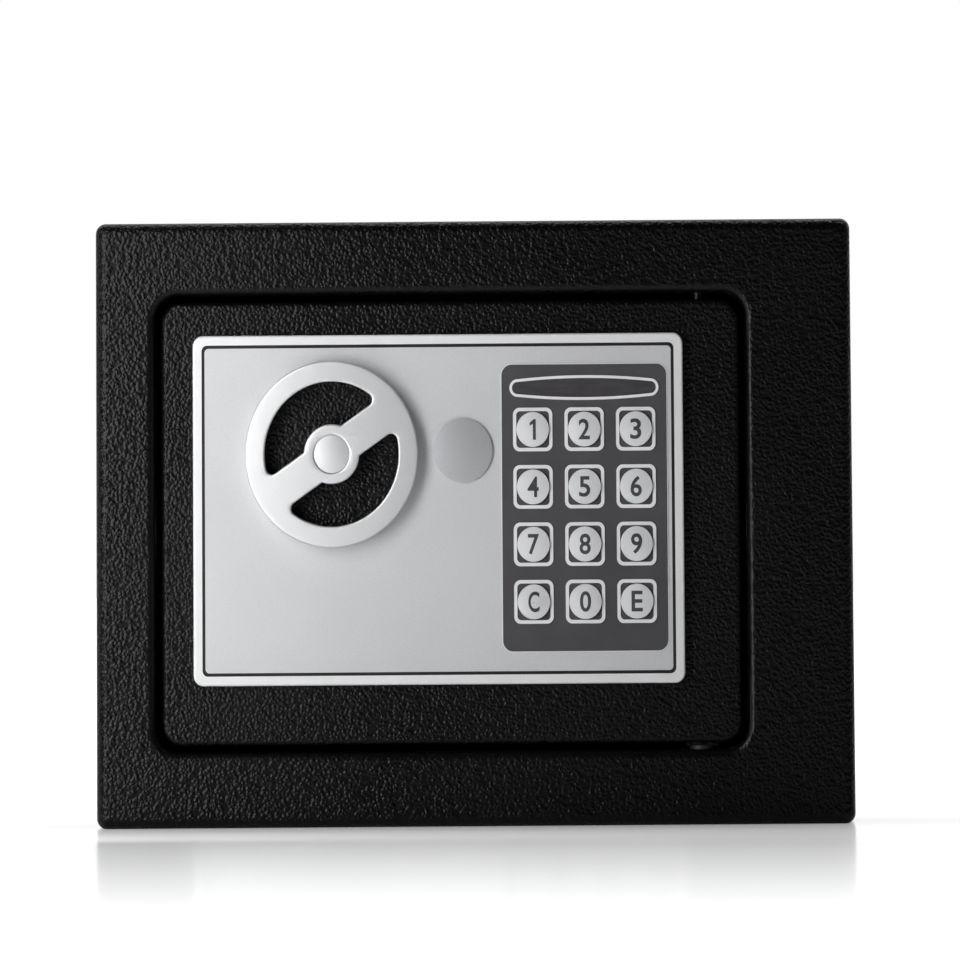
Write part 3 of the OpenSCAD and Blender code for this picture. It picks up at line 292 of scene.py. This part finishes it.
slotFinish = {
    "cabinet_coat": wrinkleCoat("Leather grain powder coat, frame", "#060607", "#0b0b0c", 0.29, True),
    "door_coat": wrinkleCoat("Leather grain powder coat, door", "#060607", "#0b0b0c", 0.29),
    "cover_coat": satinCoat("Smooth black powder coat", "#141416", "#1c1c1f", 0.42),
    "carpet": needleFelt("Grey needle felt", "#2b2d33", "#4c4f57"),
    "bright_steel": workedMetal("Turned zinc-plated steel", "#b4b7ba", "#d4d6d8", 0.26, (6, 1, 1)),
    "zinc_steel": workedMetal("Pressed zinc-plated steel", "#9a9da1", "#bdc0c3", 0.36, (1, 1, 5)),
    "screw_steel": workedMetal("Zinc-plated screw steel", "#b0b2b4", "#d6d7d8", 0.28),
    "bronze": workedMetal("Machined brass", "#b08a48", "#cfaa62", 0.28, (1, 6, 1)),
    "lock_metal": workedMetal("Nickel-plated die casting", "#b8b9ba", "#d8d9da", 0.22),
    "knob_silver": silverLacquer("Satin silver knob lacquer", "#e2e3e5", "#ecedee", 0.43, 0.18 * mm, 0.75),
    # the last colour is the painted highlight on the panel's raised rim
    "panel_silver": panelLacquerWithRimHighlight("Pearl silver panel lacquer", "#d3d4d6", "#dfe0e2", "#f6f6f7", 0.42,
                                 0.3 * mm, 0.2),
    "cap_silver": silverLacquer("Silver cap lacquer", "#b6b8bb", "#c2c4c6", 0.4, 0.22 * mm, 0.35),
    "inlay_black": mouldedPlastic("Black inlaid line", "#141416", "#1e1e20", 0.35),
    "keypad_grey": mouldedPlastic("Dark grey matt ABS", "#444245", "#4d4b4e", 0.6, 0.4 * mm, 0.03 * mm),
    "trim_light": mouldedPlastic("Light silver printed line", "#eceded", "#f4f4f5", 0.4),
    "key_white": mouldedPlastic("Pearl key ABS", "#e0e1e3", "#eaebec", 0.3, 0.5 * mm, 0.006 * mm, 0.3),
    "lens_dark": tintedAcrylic("Dark tinted acrylic", "#454346", "#4e4c4f"),
    "led_red": tintedAcrylic("Red epoxy", "#8a1c16", "#a02620"),
    "silicone": mouldedPlastic("Translucent grey silicone", "#aaaaa6", "#babab6", 0.6),
    "board_green": solderMask("Green solder mask", "#1d5a2b", "#3f8a4a"),
    "coil_wire": windingsWithGrooveShade("Enamelled copper winding", "#6e3418", "#a8602f"),
    "box_black": mouldedPlastic("Black matt ABS", "#1a1a1c", "#242427", 0.5, 0.35 * mm, 0.025 * mm),
    "cell_jacket": mouldedPlastic("Printed foil jacket", "#8a5c22", "#a8742e", 0.25),
    "button_red": mouldedPlastic("Red ABS", "#a3211c", "#b52a24", 0.35),
    "lead_pvc": mouldedPlastic("Red PVC insulation", "#8e1d18", "#a32620", 0.4),
}
for name, node in nodes.items():
    node.data.materials.clear()
    node.data.materials.append(slotFinish[slotOfNode[name]])
print("finishes set")


def putOn(piece, node):
    # the piece takes the CAD node's place, body and slot
    piece.data.materials.clear()
    piece.data.materials.append(slotFinish[slotOfNode[node]])
    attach(piece, bodyOfNode[node])
    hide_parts(node)


def asPlainMesh(piece):
    # the evaluated result becomes the piece's own mesh, and its modifiers go
    done = bpy.data.meshes.new_from_object(piece.evaluated_get(bpy.context.evaluated_depsgraph_get()))
    piece.modifiers.clear()
    piece.data = done
    return piece


def evenShading(piece, sharp=32):
    # flat faces stay flat beside their rounded edges
    piece.data.shade_smooth()
    piece.data.set_sharp_from_angle(angle=math.radians(sharp))
    even = piece.modifiers.new("Even shading", "WEIGHTED_NORMAL")
    even.keep_sharp = True
    even.weight = 60
    return asPlainMesh(piece)


def newPiece(name, mesh):
    piece = bpy.data.objects.new(name, mesh)
    bpy.context.scene.collection.objects.link(piece)
    return piece


softEdges = {"keypad_plate": {"width": 0.15 * mm, "lift": 0.0},
             "battery_cover": {"width": 0.3 * mm, "lift": 0.02 * mm}}


def softenedCopy(node, width, lift):
    # the node's own shape with its sharp edges rounded by width, lifted off the face it lies on
    mesh = nodes[node].data.copy()
    work = bmesh.new()
    work.from_mesh(mesh)
    bmesh.ops.remove_doubles(work, verts=work.verts, dist=weld)
    bmesh.ops.dissolve_limit(work, angle_limit=math.radians(0.6), verts=work.verts, edges=work.edges)
    work.to_mesh(mesh)
    work.free()
    piece = newPiece(node + "_soft", mesh)
    rounding = piece.modifiers.new("Rounded edges", "BEVEL")
    rounding.width = width
    rounding.segments = 3
    rounding.limit_method = "ANGLE"
    rounding.angle_limit = math.radians(28)
    rounding.use_clamp_overlap = True
    evenShading(asPlainMesh(piece))
    for v in piece.data.vertices:
        v.co.y += lift
    putOn(piece, node)


for name, sizes in softEdges.items():
    softenedCopy(name, **sizes)
print("edges softened")

capDomes = {"keyhole_cap": {"radius": 9.0, "rise": 0.6}, "knob_cap": {"radius": 5.3, "rise": 0.3}}


def domedCopy(node, radius, rise):
    # the node's own shape, its low dome shaded as one even curve
    mesh = nodes[node].data.copy()
    low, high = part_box(node)
    ball = (radius ** 2 + rise ** 2) / (2 * rise) * mm
    centre = Vector(((low.x + high.x) / 2, low.y + ball, (low.z + high.z) / 2))
    mesh.shade_smooth()
    normals = []
    for face in mesh.polygons:
        corners = [mesh.vertices[i].co for i in face.vertices]
        # the dome faces forward and lies within its rise; the wall round it faces outward
        domed = max(p.y for p in corners) < low.y + (rise + 0.02) * mm and face.normal.y < -0.5
        for p in corners:
            if domed:
                normals.append((p - centre).normalized())
            elif abs(face.normal.y) < 0.1:
                out = Vector((p.x - centre.x, 0, p.z - centre.z)).normalized()
                normals.append(out if out.dot(face.normal) > 0 else -out)
            else:
                normals.append(face.normal.copy())
    mesh.normals_split_custom_set(normals)
    putOn(newPiece(node + "_smooth", mesh), node)


for name, sizes in capDomes.items():
    domedCopy(name, **sizes)
print("caps smoothed")


# millimetres and degrees; "mesh" is the longest edge left in the mesh
knob = {"radius": 26.3, "holeRadius": 20.4, "hubRadius": 8.45, "gripWidth": 10.1, "gripAngle": 33.5,
        "corner": 1.9, "thick": 5.5, "capRadius": 5.35, "dome": 0.6, "mesh": 1.6, "edge": 0.55,
        "arcStep": 3.0}
# the ring behind the dial, as (radius, depth from the face); a depth of None is the back of the knob
knobBoss = [(1.6, 3.6), (6.6, 3.6), (6.6, 5.2), (7.85, 5.2), (7.85, None), (3.2, None), (3.2, 4.5),
            (1.6, 4.5)]


def arcPoints(cx, cy, radius, start, end):
    # points along an arc between two angles in degrees
    steps = max(2, math.ceil(abs(end - start) / knob["arcStep"]))
    angles = [math.radians(start + (end - start) * i / steps) for i in range(steps + 1)]
    return [(cx + radius * math.cos(a), cy + radius * math.sin(a)) for a in angles]


def gripOutline():
    # half-moon opening for the fingers, between the rim, the grip bar and the hub
    low, corner, hole, hub = knob["gripWidth"] / 2, knob["corner"], knob["holeRadius"], knob["hubRadius"]
    reach = math.sqrt((hole - corner) ** 2 - (low + corner) ** 2)
    turn = math.degrees(math.atan2(low + corner, reach))
    hubTurn = math.degrees(math.asin(low / hub))
    points = arcPoints(reach, low + corner, corner, -90, turn)
    points += arcPoints(0, 0, hole, turn, 180 - turn)[1:]
    points += arcPoints(-reach, low + corner, corner, 180 - turn, 270)[1:]
    points += arcPoints(0, 0, hub, 180 - hubTurn, hubTurn)
    return points


def revolved(outline, place, turns=96):
    # closed ring about the knob's axis, from an outline of (radius, depth) in millimetres
    mesh = bpy.data.meshes.new("ring")
    verts, faces = [], []
    count = len(outline)
    for i in range(turns):
        a = 2 * math.pi * i / turns
        verts += [place + Vector((r * math.cos(a), s, r * math.sin(a))) * mm for r, s in outline]
        for k in range(count):
            n, nextTurn = (k + 1) % count, (i + 1) % turns
            faces.append((i * count + k, i * count + n, nextTurn * count + n, nextTurn * count + k))
    mesh.from_pydata(verts, [], faces)
    return mesh


def makeKnob():
    # slim dial with a grip bar between two half-moon openings, drawn as a curve with rounded edges,
    # its face hollowed a little towards the hub
    low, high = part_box("knob")
    centre = Vector(((low.x + high.x) / 2, 0, (low.z + high.z) / 2))
    face = low.y
    curve = bpy.data.curves.new("knob", "CURVE")
    curve.dimensions = "2D"
    curve.fill_mode = "BOTH"
    turned = [Matrix.Rotation(math.radians(knob["gripAngle"] + side), 2) @ Vector(p)
              for side in (0, 180) for p in gripOutline()]
    half = len(turned) // 2
    rim = arcPoints(0, 0, knob["radius"], 0, 360)[:-1]
    well = arcPoints(0, 0, knob["capRadius"], 0, 360)[:-1]
    for outline in (rim, turned[:half], turned[half:], well):
        spline = curve.splines.new("POLY")
        spline.points.add(len(outline) - 1)
        for point, xy in zip(spline.points, outline):
            point.co = (xy[0] * mm, xy[1] * mm, 0, 1)
        spline.use_cyclic_u = True
    curve.bevel_depth = knob["edge"] * mm
    curve.bevel_resolution = 3
    curve.extrude = (knob["thick"] / 2 - knob["edge"]) * mm
    curve.offset = -knob["edge"] * mm
    drawn = newPiece("knob_curve", curve)
    mesh = bpy.data.meshes.new_from_object(drawn.evaluated_get(bpy.context.evaluated_depsgraph_get()))
    bpy.data.objects.remove(drawn)
    for v in mesh.vertices:
        v.co = Vector((centre.x + v.co.x, face + knob["thick"] / 2 * mm - v.co.z, centre.z + v.co.y))
    work = bmesh.new()
    work.from_mesh(mesh)
    bmesh.ops.remove_doubles(work, verts=work.verts, dist=weld)
    for _ in range(6):
        long = [e for e in work.edges if e.calc_length() > knob["mesh"] * mm]
        if long:
            bmesh.ops.subdivide_edges(work, edges=long, cuts=1)
            bmesh.ops.triangulate(work, faces=work.faces)
    for v in work.verts:
        away = math.hypot(v.co.x - centre.x, v.co.z - centre.z) / (knob["radius"] * mm)
        forward = 1 - min(1, (v.co.y - face) / (knob["thick"] * mm))
        v.co.y += knob["dome"] * mm * away ** 2 * forward
    back = (high.y - face) / mm
    boss = revolved([(radius, back if depth is None else depth) for radius, depth in knobBoss],
                    Vector((centre.x, face, centre.z)))
    work.from_mesh(boss)
    bmesh.ops.remove_doubles(work, verts=work.verts, dist=weld)
    bmesh.ops.recalc_face_normals(work, faces=work.faces)
    work.to_mesh(mesh)
    work.free()
    piece = evenShading(newPiece("knob_dial", mesh), 50)
    putOn(piece, "knob")


makeKnob()
print("knob made")


def startTree(name, inputs):
    # a Geometry Nodes tree with named inputs; gives the tree, its nodes and each input's identifier
    tree = bpy.data.node_groups.new(name, "GeometryNodeTree")
    tree.interface.new_socket("Geometry", in_out="INPUT", socket_type="NodeSocketGeometry")
    ids = {n: tree.interface.new_socket(n, in_out="INPUT", socket_type="NodeSocket" + kind).identifier
           for n, kind in inputs}
    tree.interface.new_socket("Geometry", in_out="OUTPUT", socket_type="NodeSocketGeometry")
    return tree, add(tree, "NodeGroupInput"), ids


def endTree(tree, geometry):
    # instances made real, the finish set, and the result given out
    realized = add(tree, "GeometryNodeRealizeInstances", {"Geometry": geometry})
    given = add(tree, "NodeGroupInput")
    finished = add(tree, "GeometryNodeSetMaterial", {"Geometry": realized,
                                                     "Material": given.outputs["Finish"]})
    add(tree, "NodeGroupOutput", {"Geometry": finished})


def grow(name, tree, ids, values, mesh=None):
    # run the tree on a mesh and keep the result as a plain piece
    piece = newPiece(name, mesh or bpy.data.meshes.new(name))
    nodesUsed = piece.modifiers.new(name, "NODES")
    nodesUsed.node_group = tree
    for n, value in values.items():
        nodesUsed[ids[n]] = value
    return asPlainMesh(piece)


# size of the pale bead that paints the highlight along the keypad plate's edge
plateHighlightBead = {"line": 0.14 * mm, "inset": 0.05 * mm, "corner": 3.2 * mm, "steps": 12, "round": 8}


def makePlateHighlightBead():
    # a pale bead round the keypad plate, a painted highlight: it stands in for the light caught by the edge
    # of the recessed plate
    low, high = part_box("keypad_plate")
    tree, given, ids = startTree("Plate highlight bead", [("Width", "Float"), ("Height", "Float"), ("Corner", "Float"),
                                                ("Line", "Float"), ("Place", "Vector"),
                                                ("Finish", "Material")])
    around = add(tree, "GeometryNodeCurvePrimitiveQuadrilateral", {"Width": given.outputs["Width"],
                                                                   "Height": given.outputs["Height"]})
    bent = add(tree, "GeometryNodeFilletCurve", {"Curve": around, "Radius": given.outputs["Corner"],
                                                 "Count": plateHighlightBead["steps"]}, mode="POLY")
    wire = add(tree, "GeometryNodeCurvePrimitiveCircle", {"Resolution": plateHighlightBead["round"],
                                                          "Radius": given.outputs["Line"]})
    solid = add(tree, "GeometryNodeCurveToMesh", {"Curve": bent, "Profile Curve": wire})
    smooth = add(tree, "GeometryNodeSetShadeSmooth", {"Geometry": solid})
    upright = add(tree, "GeometryNodeTransform", {"Geometry": smooth, "Rotation": (math.pi / 2, 0, 0),
                                                  "Translation": given.outputs["Place"]})
    endTree(tree, upright)
    inset = plateHighlightBead["inset"]
    piece = grow("plate_highlight_bead", tree, ids, {
        "Width": high.x - low.x - 2 * inset, "Height": high.z - low.z - 2 * inset,
        "Corner": plateHighlightBead["corner"], "Line": plateHighlightBead["line"],
        "Place": ((low.x + high.x) / 2, low.y + plateHighlightBead["line"], (low.z + high.z) / 2),
        # the pale finish makes the bead a painted highlight
        "Finish": slotFinish["trim_light"]})
    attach(piece, bodyOfNode["keypad_plate"])


makePlateHighlightBead()
print("keypad bead laid")


def islandCentres(node):
    # middle of each separate solid of a node
    work = bmesh.new()
    work.from_mesh(nodes[node].data)
    bmesh.ops.remove_doubles(work, verts=work.verts, dist=weld)
    left, centres = set(work.verts), []
    while left:
        found, edge = set(), [min(left, key=lambda v: v.index)]
        while edge:
            vert = edge.pop()
            if vert not in found:
                found.add(vert)
                edge += [e.other_vert(vert) for e in vert.link_edges]
        left -= found
        spots = [v.co for v in found]
        centres.append(Vector([(min(p[i] for p in spots) + max(p[i] for p in spots)) / 2 for i in range(3)]))
    work.free()
    return sorted(centres, key=lambda p: (round(p.x, 4), round(p.z, 4)))


coverScrew = {"head": 3.3 * mm, "dome": 1.5 * mm, "seat": 2.0 * mm, "slotWidth": 0.8 * mm,
              "slotReach": 1.9 * mm, "slotDepth": 1.1 * mm, "slotTall": 2 * mm, "shank": 1.5 * mm,
              "length": 10 * mm, "trim": 20 * mm, "sides": 32, "seed": 7}


def makeCoverScrews():
    # pan-head screws with a cross recess, one on each post of the door's back cover
    low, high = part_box("cover_screws")
    under = high.y - coverScrew["seat"]
    spots = [Vector((p.x, under, p.z)) for p in islandCentres("cover_screws")]
    mesh = bpy.data.meshes.new("screw_spots")
    mesh.from_pydata(spots, [], [])
    tree, given, ids = startTree("Cross screws", [
        ("Head radius", "Float"), ("Head height", "Float"), ("Shank radius", "Float"),
        ("Shank length", "Float"), ("Slot size", "Vector"), ("Slot place", "Vector"),
        ("Finish", "Material")])
    ball = add(tree, "GeometryNodeMeshUVSphere", {"Segments": coverScrew["sides"],
                                                 "Rings": coverScrew["sides"] // 2, "Radius": 1.0})
    shape = add(tree, "ShaderNodeCombineXYZ", {0: given.outputs["Head radius"],
                                               1: given.outputs["Head radius"],
                                               2: given.outputs["Head height"]})
    dome = add(tree, "GeometryNodeTransform", {"Geometry": ball, "Scale": shape})
    # the block takes away the lower half of the ball, and the two bars the cross
    trim = coverScrew["trim"]
    block = add(tree, "GeometryNodeMeshCube", {"Size": (trim, trim, trim / 2)})
    block = add(tree, "GeometryNodeTransform", {"Geometry": block, "Translation": (0, 0, -trim / 4)})
    bar = add(tree, "GeometryNodeMeshCube", {"Size": given.outputs["Slot size"]})
    bar = add(tree, "GeometryNodeTransform", {"Geometry": bar, "Translation": given.outputs["Slot place"]})
    across = add(tree, "GeometryNodeTransform", {"Geometry": bar, "Rotation": (0, 0, math.pi / 2)})
    cut = add(tree, "GeometryNodeMeshBoolean", {"Mesh 1": dome}, operation="DIFFERENCE", solver="EXACT")
    for tool in (across, bar, block):
        tree.links.new(tool.outputs[0], cut.inputs["Mesh 2"])
    shank = add(tree, "GeometryNodeMeshCylinder", {"Vertices": 24, "Radius": given.outputs["Shank radius"],
                                                   "Depth": given.outputs["Shank length"]})
    half = add(tree, "ShaderNodeMath", {0: given.outputs["Shank length"], 1: -0.5}, operation="MULTIPLY")
    down = add(tree, "ShaderNodeCombineXYZ", {2: half})
    shank = add(tree, "GeometryNodeTransform", {"Geometry": shank, "Translation": down})
    screw = add(tree, "GeometryNodeJoinGeometry")
    for part in (shank, cut):
        tree.links.new(part.outputs[0], screw.inputs[0])
    turn = add(tree, "FunctionNodeRandomValue", {"Min": 0.0, "Max": 1.5, "Seed": coverScrew["seed"]},
               data_type="FLOAT")
    tree.links.new(add(tree, "GeometryNodeInputIndex").outputs[0], turn.inputs["ID"])
    aim = add(tree, "ShaderNodeCombineXYZ", {0: -math.pi / 2, 1: turn.outputs[1]})
    placed = add(tree, "GeometryNodeInstanceOnPoints", {"Points": given.outputs["Geometry"],
                                                        "Instance": screw, "Rotation": aim})
    endTree(tree, placed)
    size = coverScrew
    piece = grow("cover_cross_screws", tree, ids, {
        "Head radius": size["head"], "Head height": size["dome"],
        "Shank radius": size["shank"], "Shank length": size["length"],
        "Slot size": (2 * size["slotReach"], size["slotWidth"], size["slotTall"]),
        "Slot place": (0, 0, size["dome"] - size["slotDepth"] + size["slotTall"] / 2),
        "Finish": slotFinish["screw_steel"]}, mesh)
    putOn(evenShading(piece, 35), "cover_screws")


makeCoverScrews()
print("cover screws made")

felt = {"count": 5200, "length": 2.4 * mm, "thick": 0.05 * mm, "seed": 11, "leanMin": (1.05, 0.0, -3.1),
        "leanMax": (1.5, 0.0, 3.1)}


def makeFeltFibres():
    # loose fibres that stand up a little from the needled face of the floor mat
    work = bmesh.new()
    work.from_mesh(nodes["floor_mat"].data)
    bmesh.ops.delete(work, geom=[f for f in work.faces if f.normal.z < 0.9], context="FACES")
    top = bpy.data.meshes.new("mat_top")
    area = sum(f.calc_area() for f in work.faces)
    work.to_mesh(top)
    work.free()
    tree, given, ids = startTree("Felt fibres", [("Density", "Float"), ("Length", "Float"),
                                                 ("Thickness", "Float"), ("Seed", "Int"),
                                                 ("Finish", "Material")])
    spots = add(tree, "GeometryNodeDistributePointsOnFaces", {"Mesh": given.outputs["Geometry"],
                                                              "Density": given.outputs["Density"],
                                                              "Seed": given.outputs["Seed"]})
    fibre = add(tree, "GeometryNodeMeshCone", {"Vertices": 3, "Radius Top": given.outputs["Thickness"],
                                               "Radius Bottom": given.outputs["Thickness"],
                                               "Depth": given.outputs["Length"]})
    lean = add(tree, "FunctionNodeRandomValue", {"Min": felt["leanMin"], "Max": felt["leanMax"],
                                                 "Seed": given.outputs["Seed"]}, data_type="FLOAT_VECTOR")
    size = add(tree, "FunctionNodeRandomValue", {2: 0.5, 3: 1.0}, data_type="FLOAT")
    placed = add(tree, "GeometryNodeInstanceOnPoints", {"Points": spots.outputs["Points"],
                                                        "Instance": fibre.outputs["Mesh"],
                                                        "Rotation": lean, "Scale": size.outputs[1]})
    endTree(tree, placed)
    piece = grow("felt_fibres", tree, ids, {
        "Density": felt["count"] / area, "Length": felt["length"], "Thickness": felt["thick"],
        "Seed": felt["seed"], "Finish": slotFinish["carpet"]}, top)
    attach(piece, bodyOfNode["floor_mat"])


makeFeltFibres()
print("felt fibres laid")


glyph = {"height": 5.8 * mm, "width": 3.4 * mm, "lift": 0.03 * mm, "step": 0.35 * mm,
         "keyRadius": 4.9 * mm, "keyRise": 0.6 * mm, "heavier": 0.018}
# half-heavy figure 1 in millimetres about its middle
figureOne = [(0.95, -2.9), (0.95, 2.9), (0.3, 2.9), (-0.9, 1.9), (-0.9, 1.05), (0.05, 1.6), (0.05, -2.9)]


def dressKey(mark):
    # the printed character, laid on the key's dome
    low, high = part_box("key_" + mark)
    middle = Vector(((low.x + high.x) / 2, low.y, (low.z + high.z) / 2))
    ball = (glyph["keyRadius"] ** 2 + glyph["keyRise"] ** 2) / (2 * glyph["keyRise"])
    if mark == "1":
        flat = bpy.data.meshes.new("mark_1")
        flat.from_pydata([(x * mm, y * mm, 0) for x, y in figureOne], [], [range(len(figureOne))])
    else:
        curve = bpy.data.curves.new("mark_" + mark, "FONT")
        curve.body = mark.upper()
        curve.resolution_u = 6
        curve.offset = glyph["heavier"]
        letter = newPiece("mark_" + mark, curve)
        letter = letter.evaluated_get(bpy.context.evaluated_depsgraph_get())
        flat = bpy.data.meshes.new_from_object(letter)
        bpy.data.objects.remove(letter.original)
        xs = [v.co.x for v in flat.vertices]
        ys = [v.co.y for v in flat.vertices]
        for v in flat.vertices:
            v.co.x = ((v.co.x - min(xs)) / (max(xs) - min(xs)) - 0.5) * glyph["width"]
            v.co.y = ((v.co.y - min(ys)) / (max(ys) - min(ys)) - 0.5) * glyph["height"]
    work = bmesh.new()
    work.from_mesh(flat)
    bmesh.ops.remove_doubles(work, verts=work.verts, dist=weld / 2)
    for _ in range(4):
        long = [e for e in work.edges if e.calc_length() > glyph["step"]]
        if long:
            bmesh.ops.subdivide_edges(work, edges=long, cuts=1)
            bmesh.ops.triangulate(work, faces=work.faces)
    for v in work.verts:
        drop = ball - math.sqrt(ball ** 2 - v.co.x ** 2 - v.co.y ** 2)
        v.co = Vector((middle.x + v.co.x, middle.y + drop - glyph["lift"], middle.z + v.co.y))
    bmesh.ops.recalc_face_normals(work, faces=work.faces)
    if sum(f.normal.y for f in work.faces) > 0:
        bmesh.ops.reverse_faces(work, faces=work.faces)
    work.to_mesh(flat)
    work.free()
    piece = newPiece("mark_" + mark, flat)
    piece.data.materials.clear()
    piece.data.materials.append(printInk)
    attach(piece, "key_" + mark)


printInk = mouldedPlastic("Dark grey key print", "#3c3c3f", "#464649", 0.5, 0.2 * mm, 0.004 * mm)
for mark in keyNames:
    dressKey(mark)
print("key characters laid on")


stage = {"half": 20.0, "cloud": 0.4, "shine": 0.8, "shineEnd": 2.9, "lit": 0.72, "litFrom": 0.1,
         "litTo": 2.0}


def makeFloor():
    # white laminate under a lit sweep: a soft shine close to the object, plain white further out
    half = stage["half"]
    mesh = bpy.data.meshes.new("floor")
    mesh.from_pydata([(-half, -half, 0), (half, -half, 0), (half, half, 0), (-half, half, 0)], [],
                     [(0, 1, 2, 3)])
    floor = newPiece("floor", mesh)
    material, tree, place = startMaterial("White laminate")
    cloud = add(tree, "ShaderNodeTexNoise", {"Vector": place, "Scale": 1 / stage["cloud"], "Detail": 2.0})
    away = add(tree, "ShaderNodeVectorMath", {0: place}, operation="LENGTH").outputs["Value"]
    near = add(tree, "ShaderNodeMapRange", {"Value": away, "From Min": 0.0, "From Max": stage["shineEnd"],
                                            "To Min": stage["shine"], "To Max": 0.0})
    slant = add(tree, "ShaderNodeFresnel", {"IOR": 1.45})
    shine = add(tree, "ShaderNodeMath", {0: near, 1: slant}, operation="MULTIPLY")
    lit = add(tree, "ShaderNodeMapRange", {"Value": away, "From Min": stage["litFrom"],
                                           "From Max": stage["litTo"], "To Min": stage["lit"],
                                           "To Max": 1.0})
    # the sweep is white to the eye, and gives the object no light of its own
    direct = add(tree, "ShaderNodeLightPath").outputs["Is Camera Ray"]
    lit = add(tree, "ShaderNodeMath", {0: lit, 1: direct}, operation="MULTIPLY")
    matt = add(tree, "ShaderNodeBsdfPrincipled", {
        "Base Color": add(tree, "ShaderNodeValToRGB", {"Fac": cloud}, shades("#f8f8f9", "#fdfdfd")),
        "Roughness": 1.0, "Specular IOR Level": 0.0, "Emission Color": toLinear("#ffffff"),
        "Emission Strength": lit})
    gloss = add(tree, "ShaderNodeBsdfGlossy", {"Color": toLinear("#fdfdfd"), "Roughness": 0.12})
    both = add(tree, "ShaderNodeMixShader", {0: shine, 1: matt, 2: gloss})
    add(tree, "ShaderNodeOutputMaterial", {"Surface": both})
    mesh.materials.append(material)


def makeLight(name, place, aim, size, power):
    data = bpy.data.lights.new(name, "AREA")
    data.shape = "RECTANGLE"
    data.size, data.size_y = size
    data.energy = power
    lamp = bpy.data.objects.new(name, data)
    lamp.location = place
    lamp.rotation_euler = (Vector(aim) - Vector(place)).to_track_quat("-Z", "Y").to_euler()
    bpy.context.scene.collection.objects.link(lamp)


# how bright the room is, from the side the safe faces to the side behind it
roomStops = [(0.0, 0.002), (0.25, 0.01), (0.5, 0.12), (0.95, 1.0)]


def makeWorld():
    # a white backdrop, and a dim room that is darker on the side the safe faces
    world = bpy.data.worlds.new("studio")
    bpy.context.scene.world = world
    world.use_nodes = True
    tree = world.node_tree
    tree.nodes.clear()
    towards = add(tree, "ShaderNodeTexCoord").outputs["Generated"]
    depth = add(tree, "ShaderNodeSeparateXYZ", {0: towards}).outputs[1]
    depth = add(tree, "ShaderNodeMapRange", {"Value": depth, "From Min": -1.0, "From Max": 1.0})
    room = add(tree, "ShaderNodeValToRGB", {"Fac": depth},
               [(at, (shade, shade, shade, 1.0)) for at, shade in roomStops])
    dim = add(tree, "ShaderNodeBackground", {"Color": toLinear("#fdfeff"), "Strength": room})
    white = add(tree, "ShaderNodeBackground", {"Color": toLinear("#ffffff"), "Strength": 1.0})
    direct = add(tree, "ShaderNodeLightPath").outputs["Is Camera Ray"]
    both = add(tree, "ShaderNodeMixShader", {0: direct, 1: dim, 2: white})
    add(tree, "ShaderNodeOutputWorld", {"Surface": both})


# place, aim, width and height in metres, and power in watts
frontMiddle = (0, -0.08, 0.085)
lights = {
    "left softbox": ((-0.22, -0.38, 0.14), frontMiddle, (0.12, 0.42), 1.1),
    "side strip": ((-0.95, -0.17, 0.12), frontMiddle, (0.1, 0.5), 0.9),
    "top softbox": ((0.0, 0.56, 1.3), (0, 0.56, 0), (1.8, 1.2), 9),
}
makeFloor()
makeWorld()
for name, given in lights.items():
    makeLight(name, *given)
bpy.context.scene.view_settings.view_transform = "Standard"

eye = {"lens": 1230.0, "distance": 10.06, "turn": 0.2, "roll": 0.41, "tall": 1.082, "x": 1.5 * mm,
       "z": 97 * mm, "near": 0.1, "far": 60}


def makeCamera():
    # a long lens square to the front, hung on a stand that can lean its picture plane
    data = bpy.data.cameras.new("camera")
    data.lens = eye["lens"]
    data.clip_start, data.clip_end = eye["near"], eye["far"]
    camera = bpy.data.objects.new("camera", data)
    bpy.context.scene.collection.objects.link(camera)
    stand = bpy.data.objects.new("camera stand", None)
    bpy.context.scene.collection.objects.link(stand)
    turn = math.radians(eye["turn"])
    camera.location = (eye["x"] + eye["distance"] * math.sin(turn), -eye["distance"] * math.cos(turn),
                       eye["z"])
    camera.rotation_euler = (math.pi / 2, math.radians(eye["roll"]), turn)
    # the picture plane leans back, so that the front shows a little taller
    lean = math.acos(1 / eye["tall"])
    shear = Matrix.Identity(4)
    shear[1][1], shear[2][1] = math.cos(lean), math.sin(lean)
    bpy.context.view_layer.update()
    camera.parent = stand
    rest = camera.matrix_basis.copy()
    camera.matrix_parent_inverse = rest @ shear @ rest.inverted()
    bpy.context.scene.camera = camera


makeCamera()
print("camera and lights set")
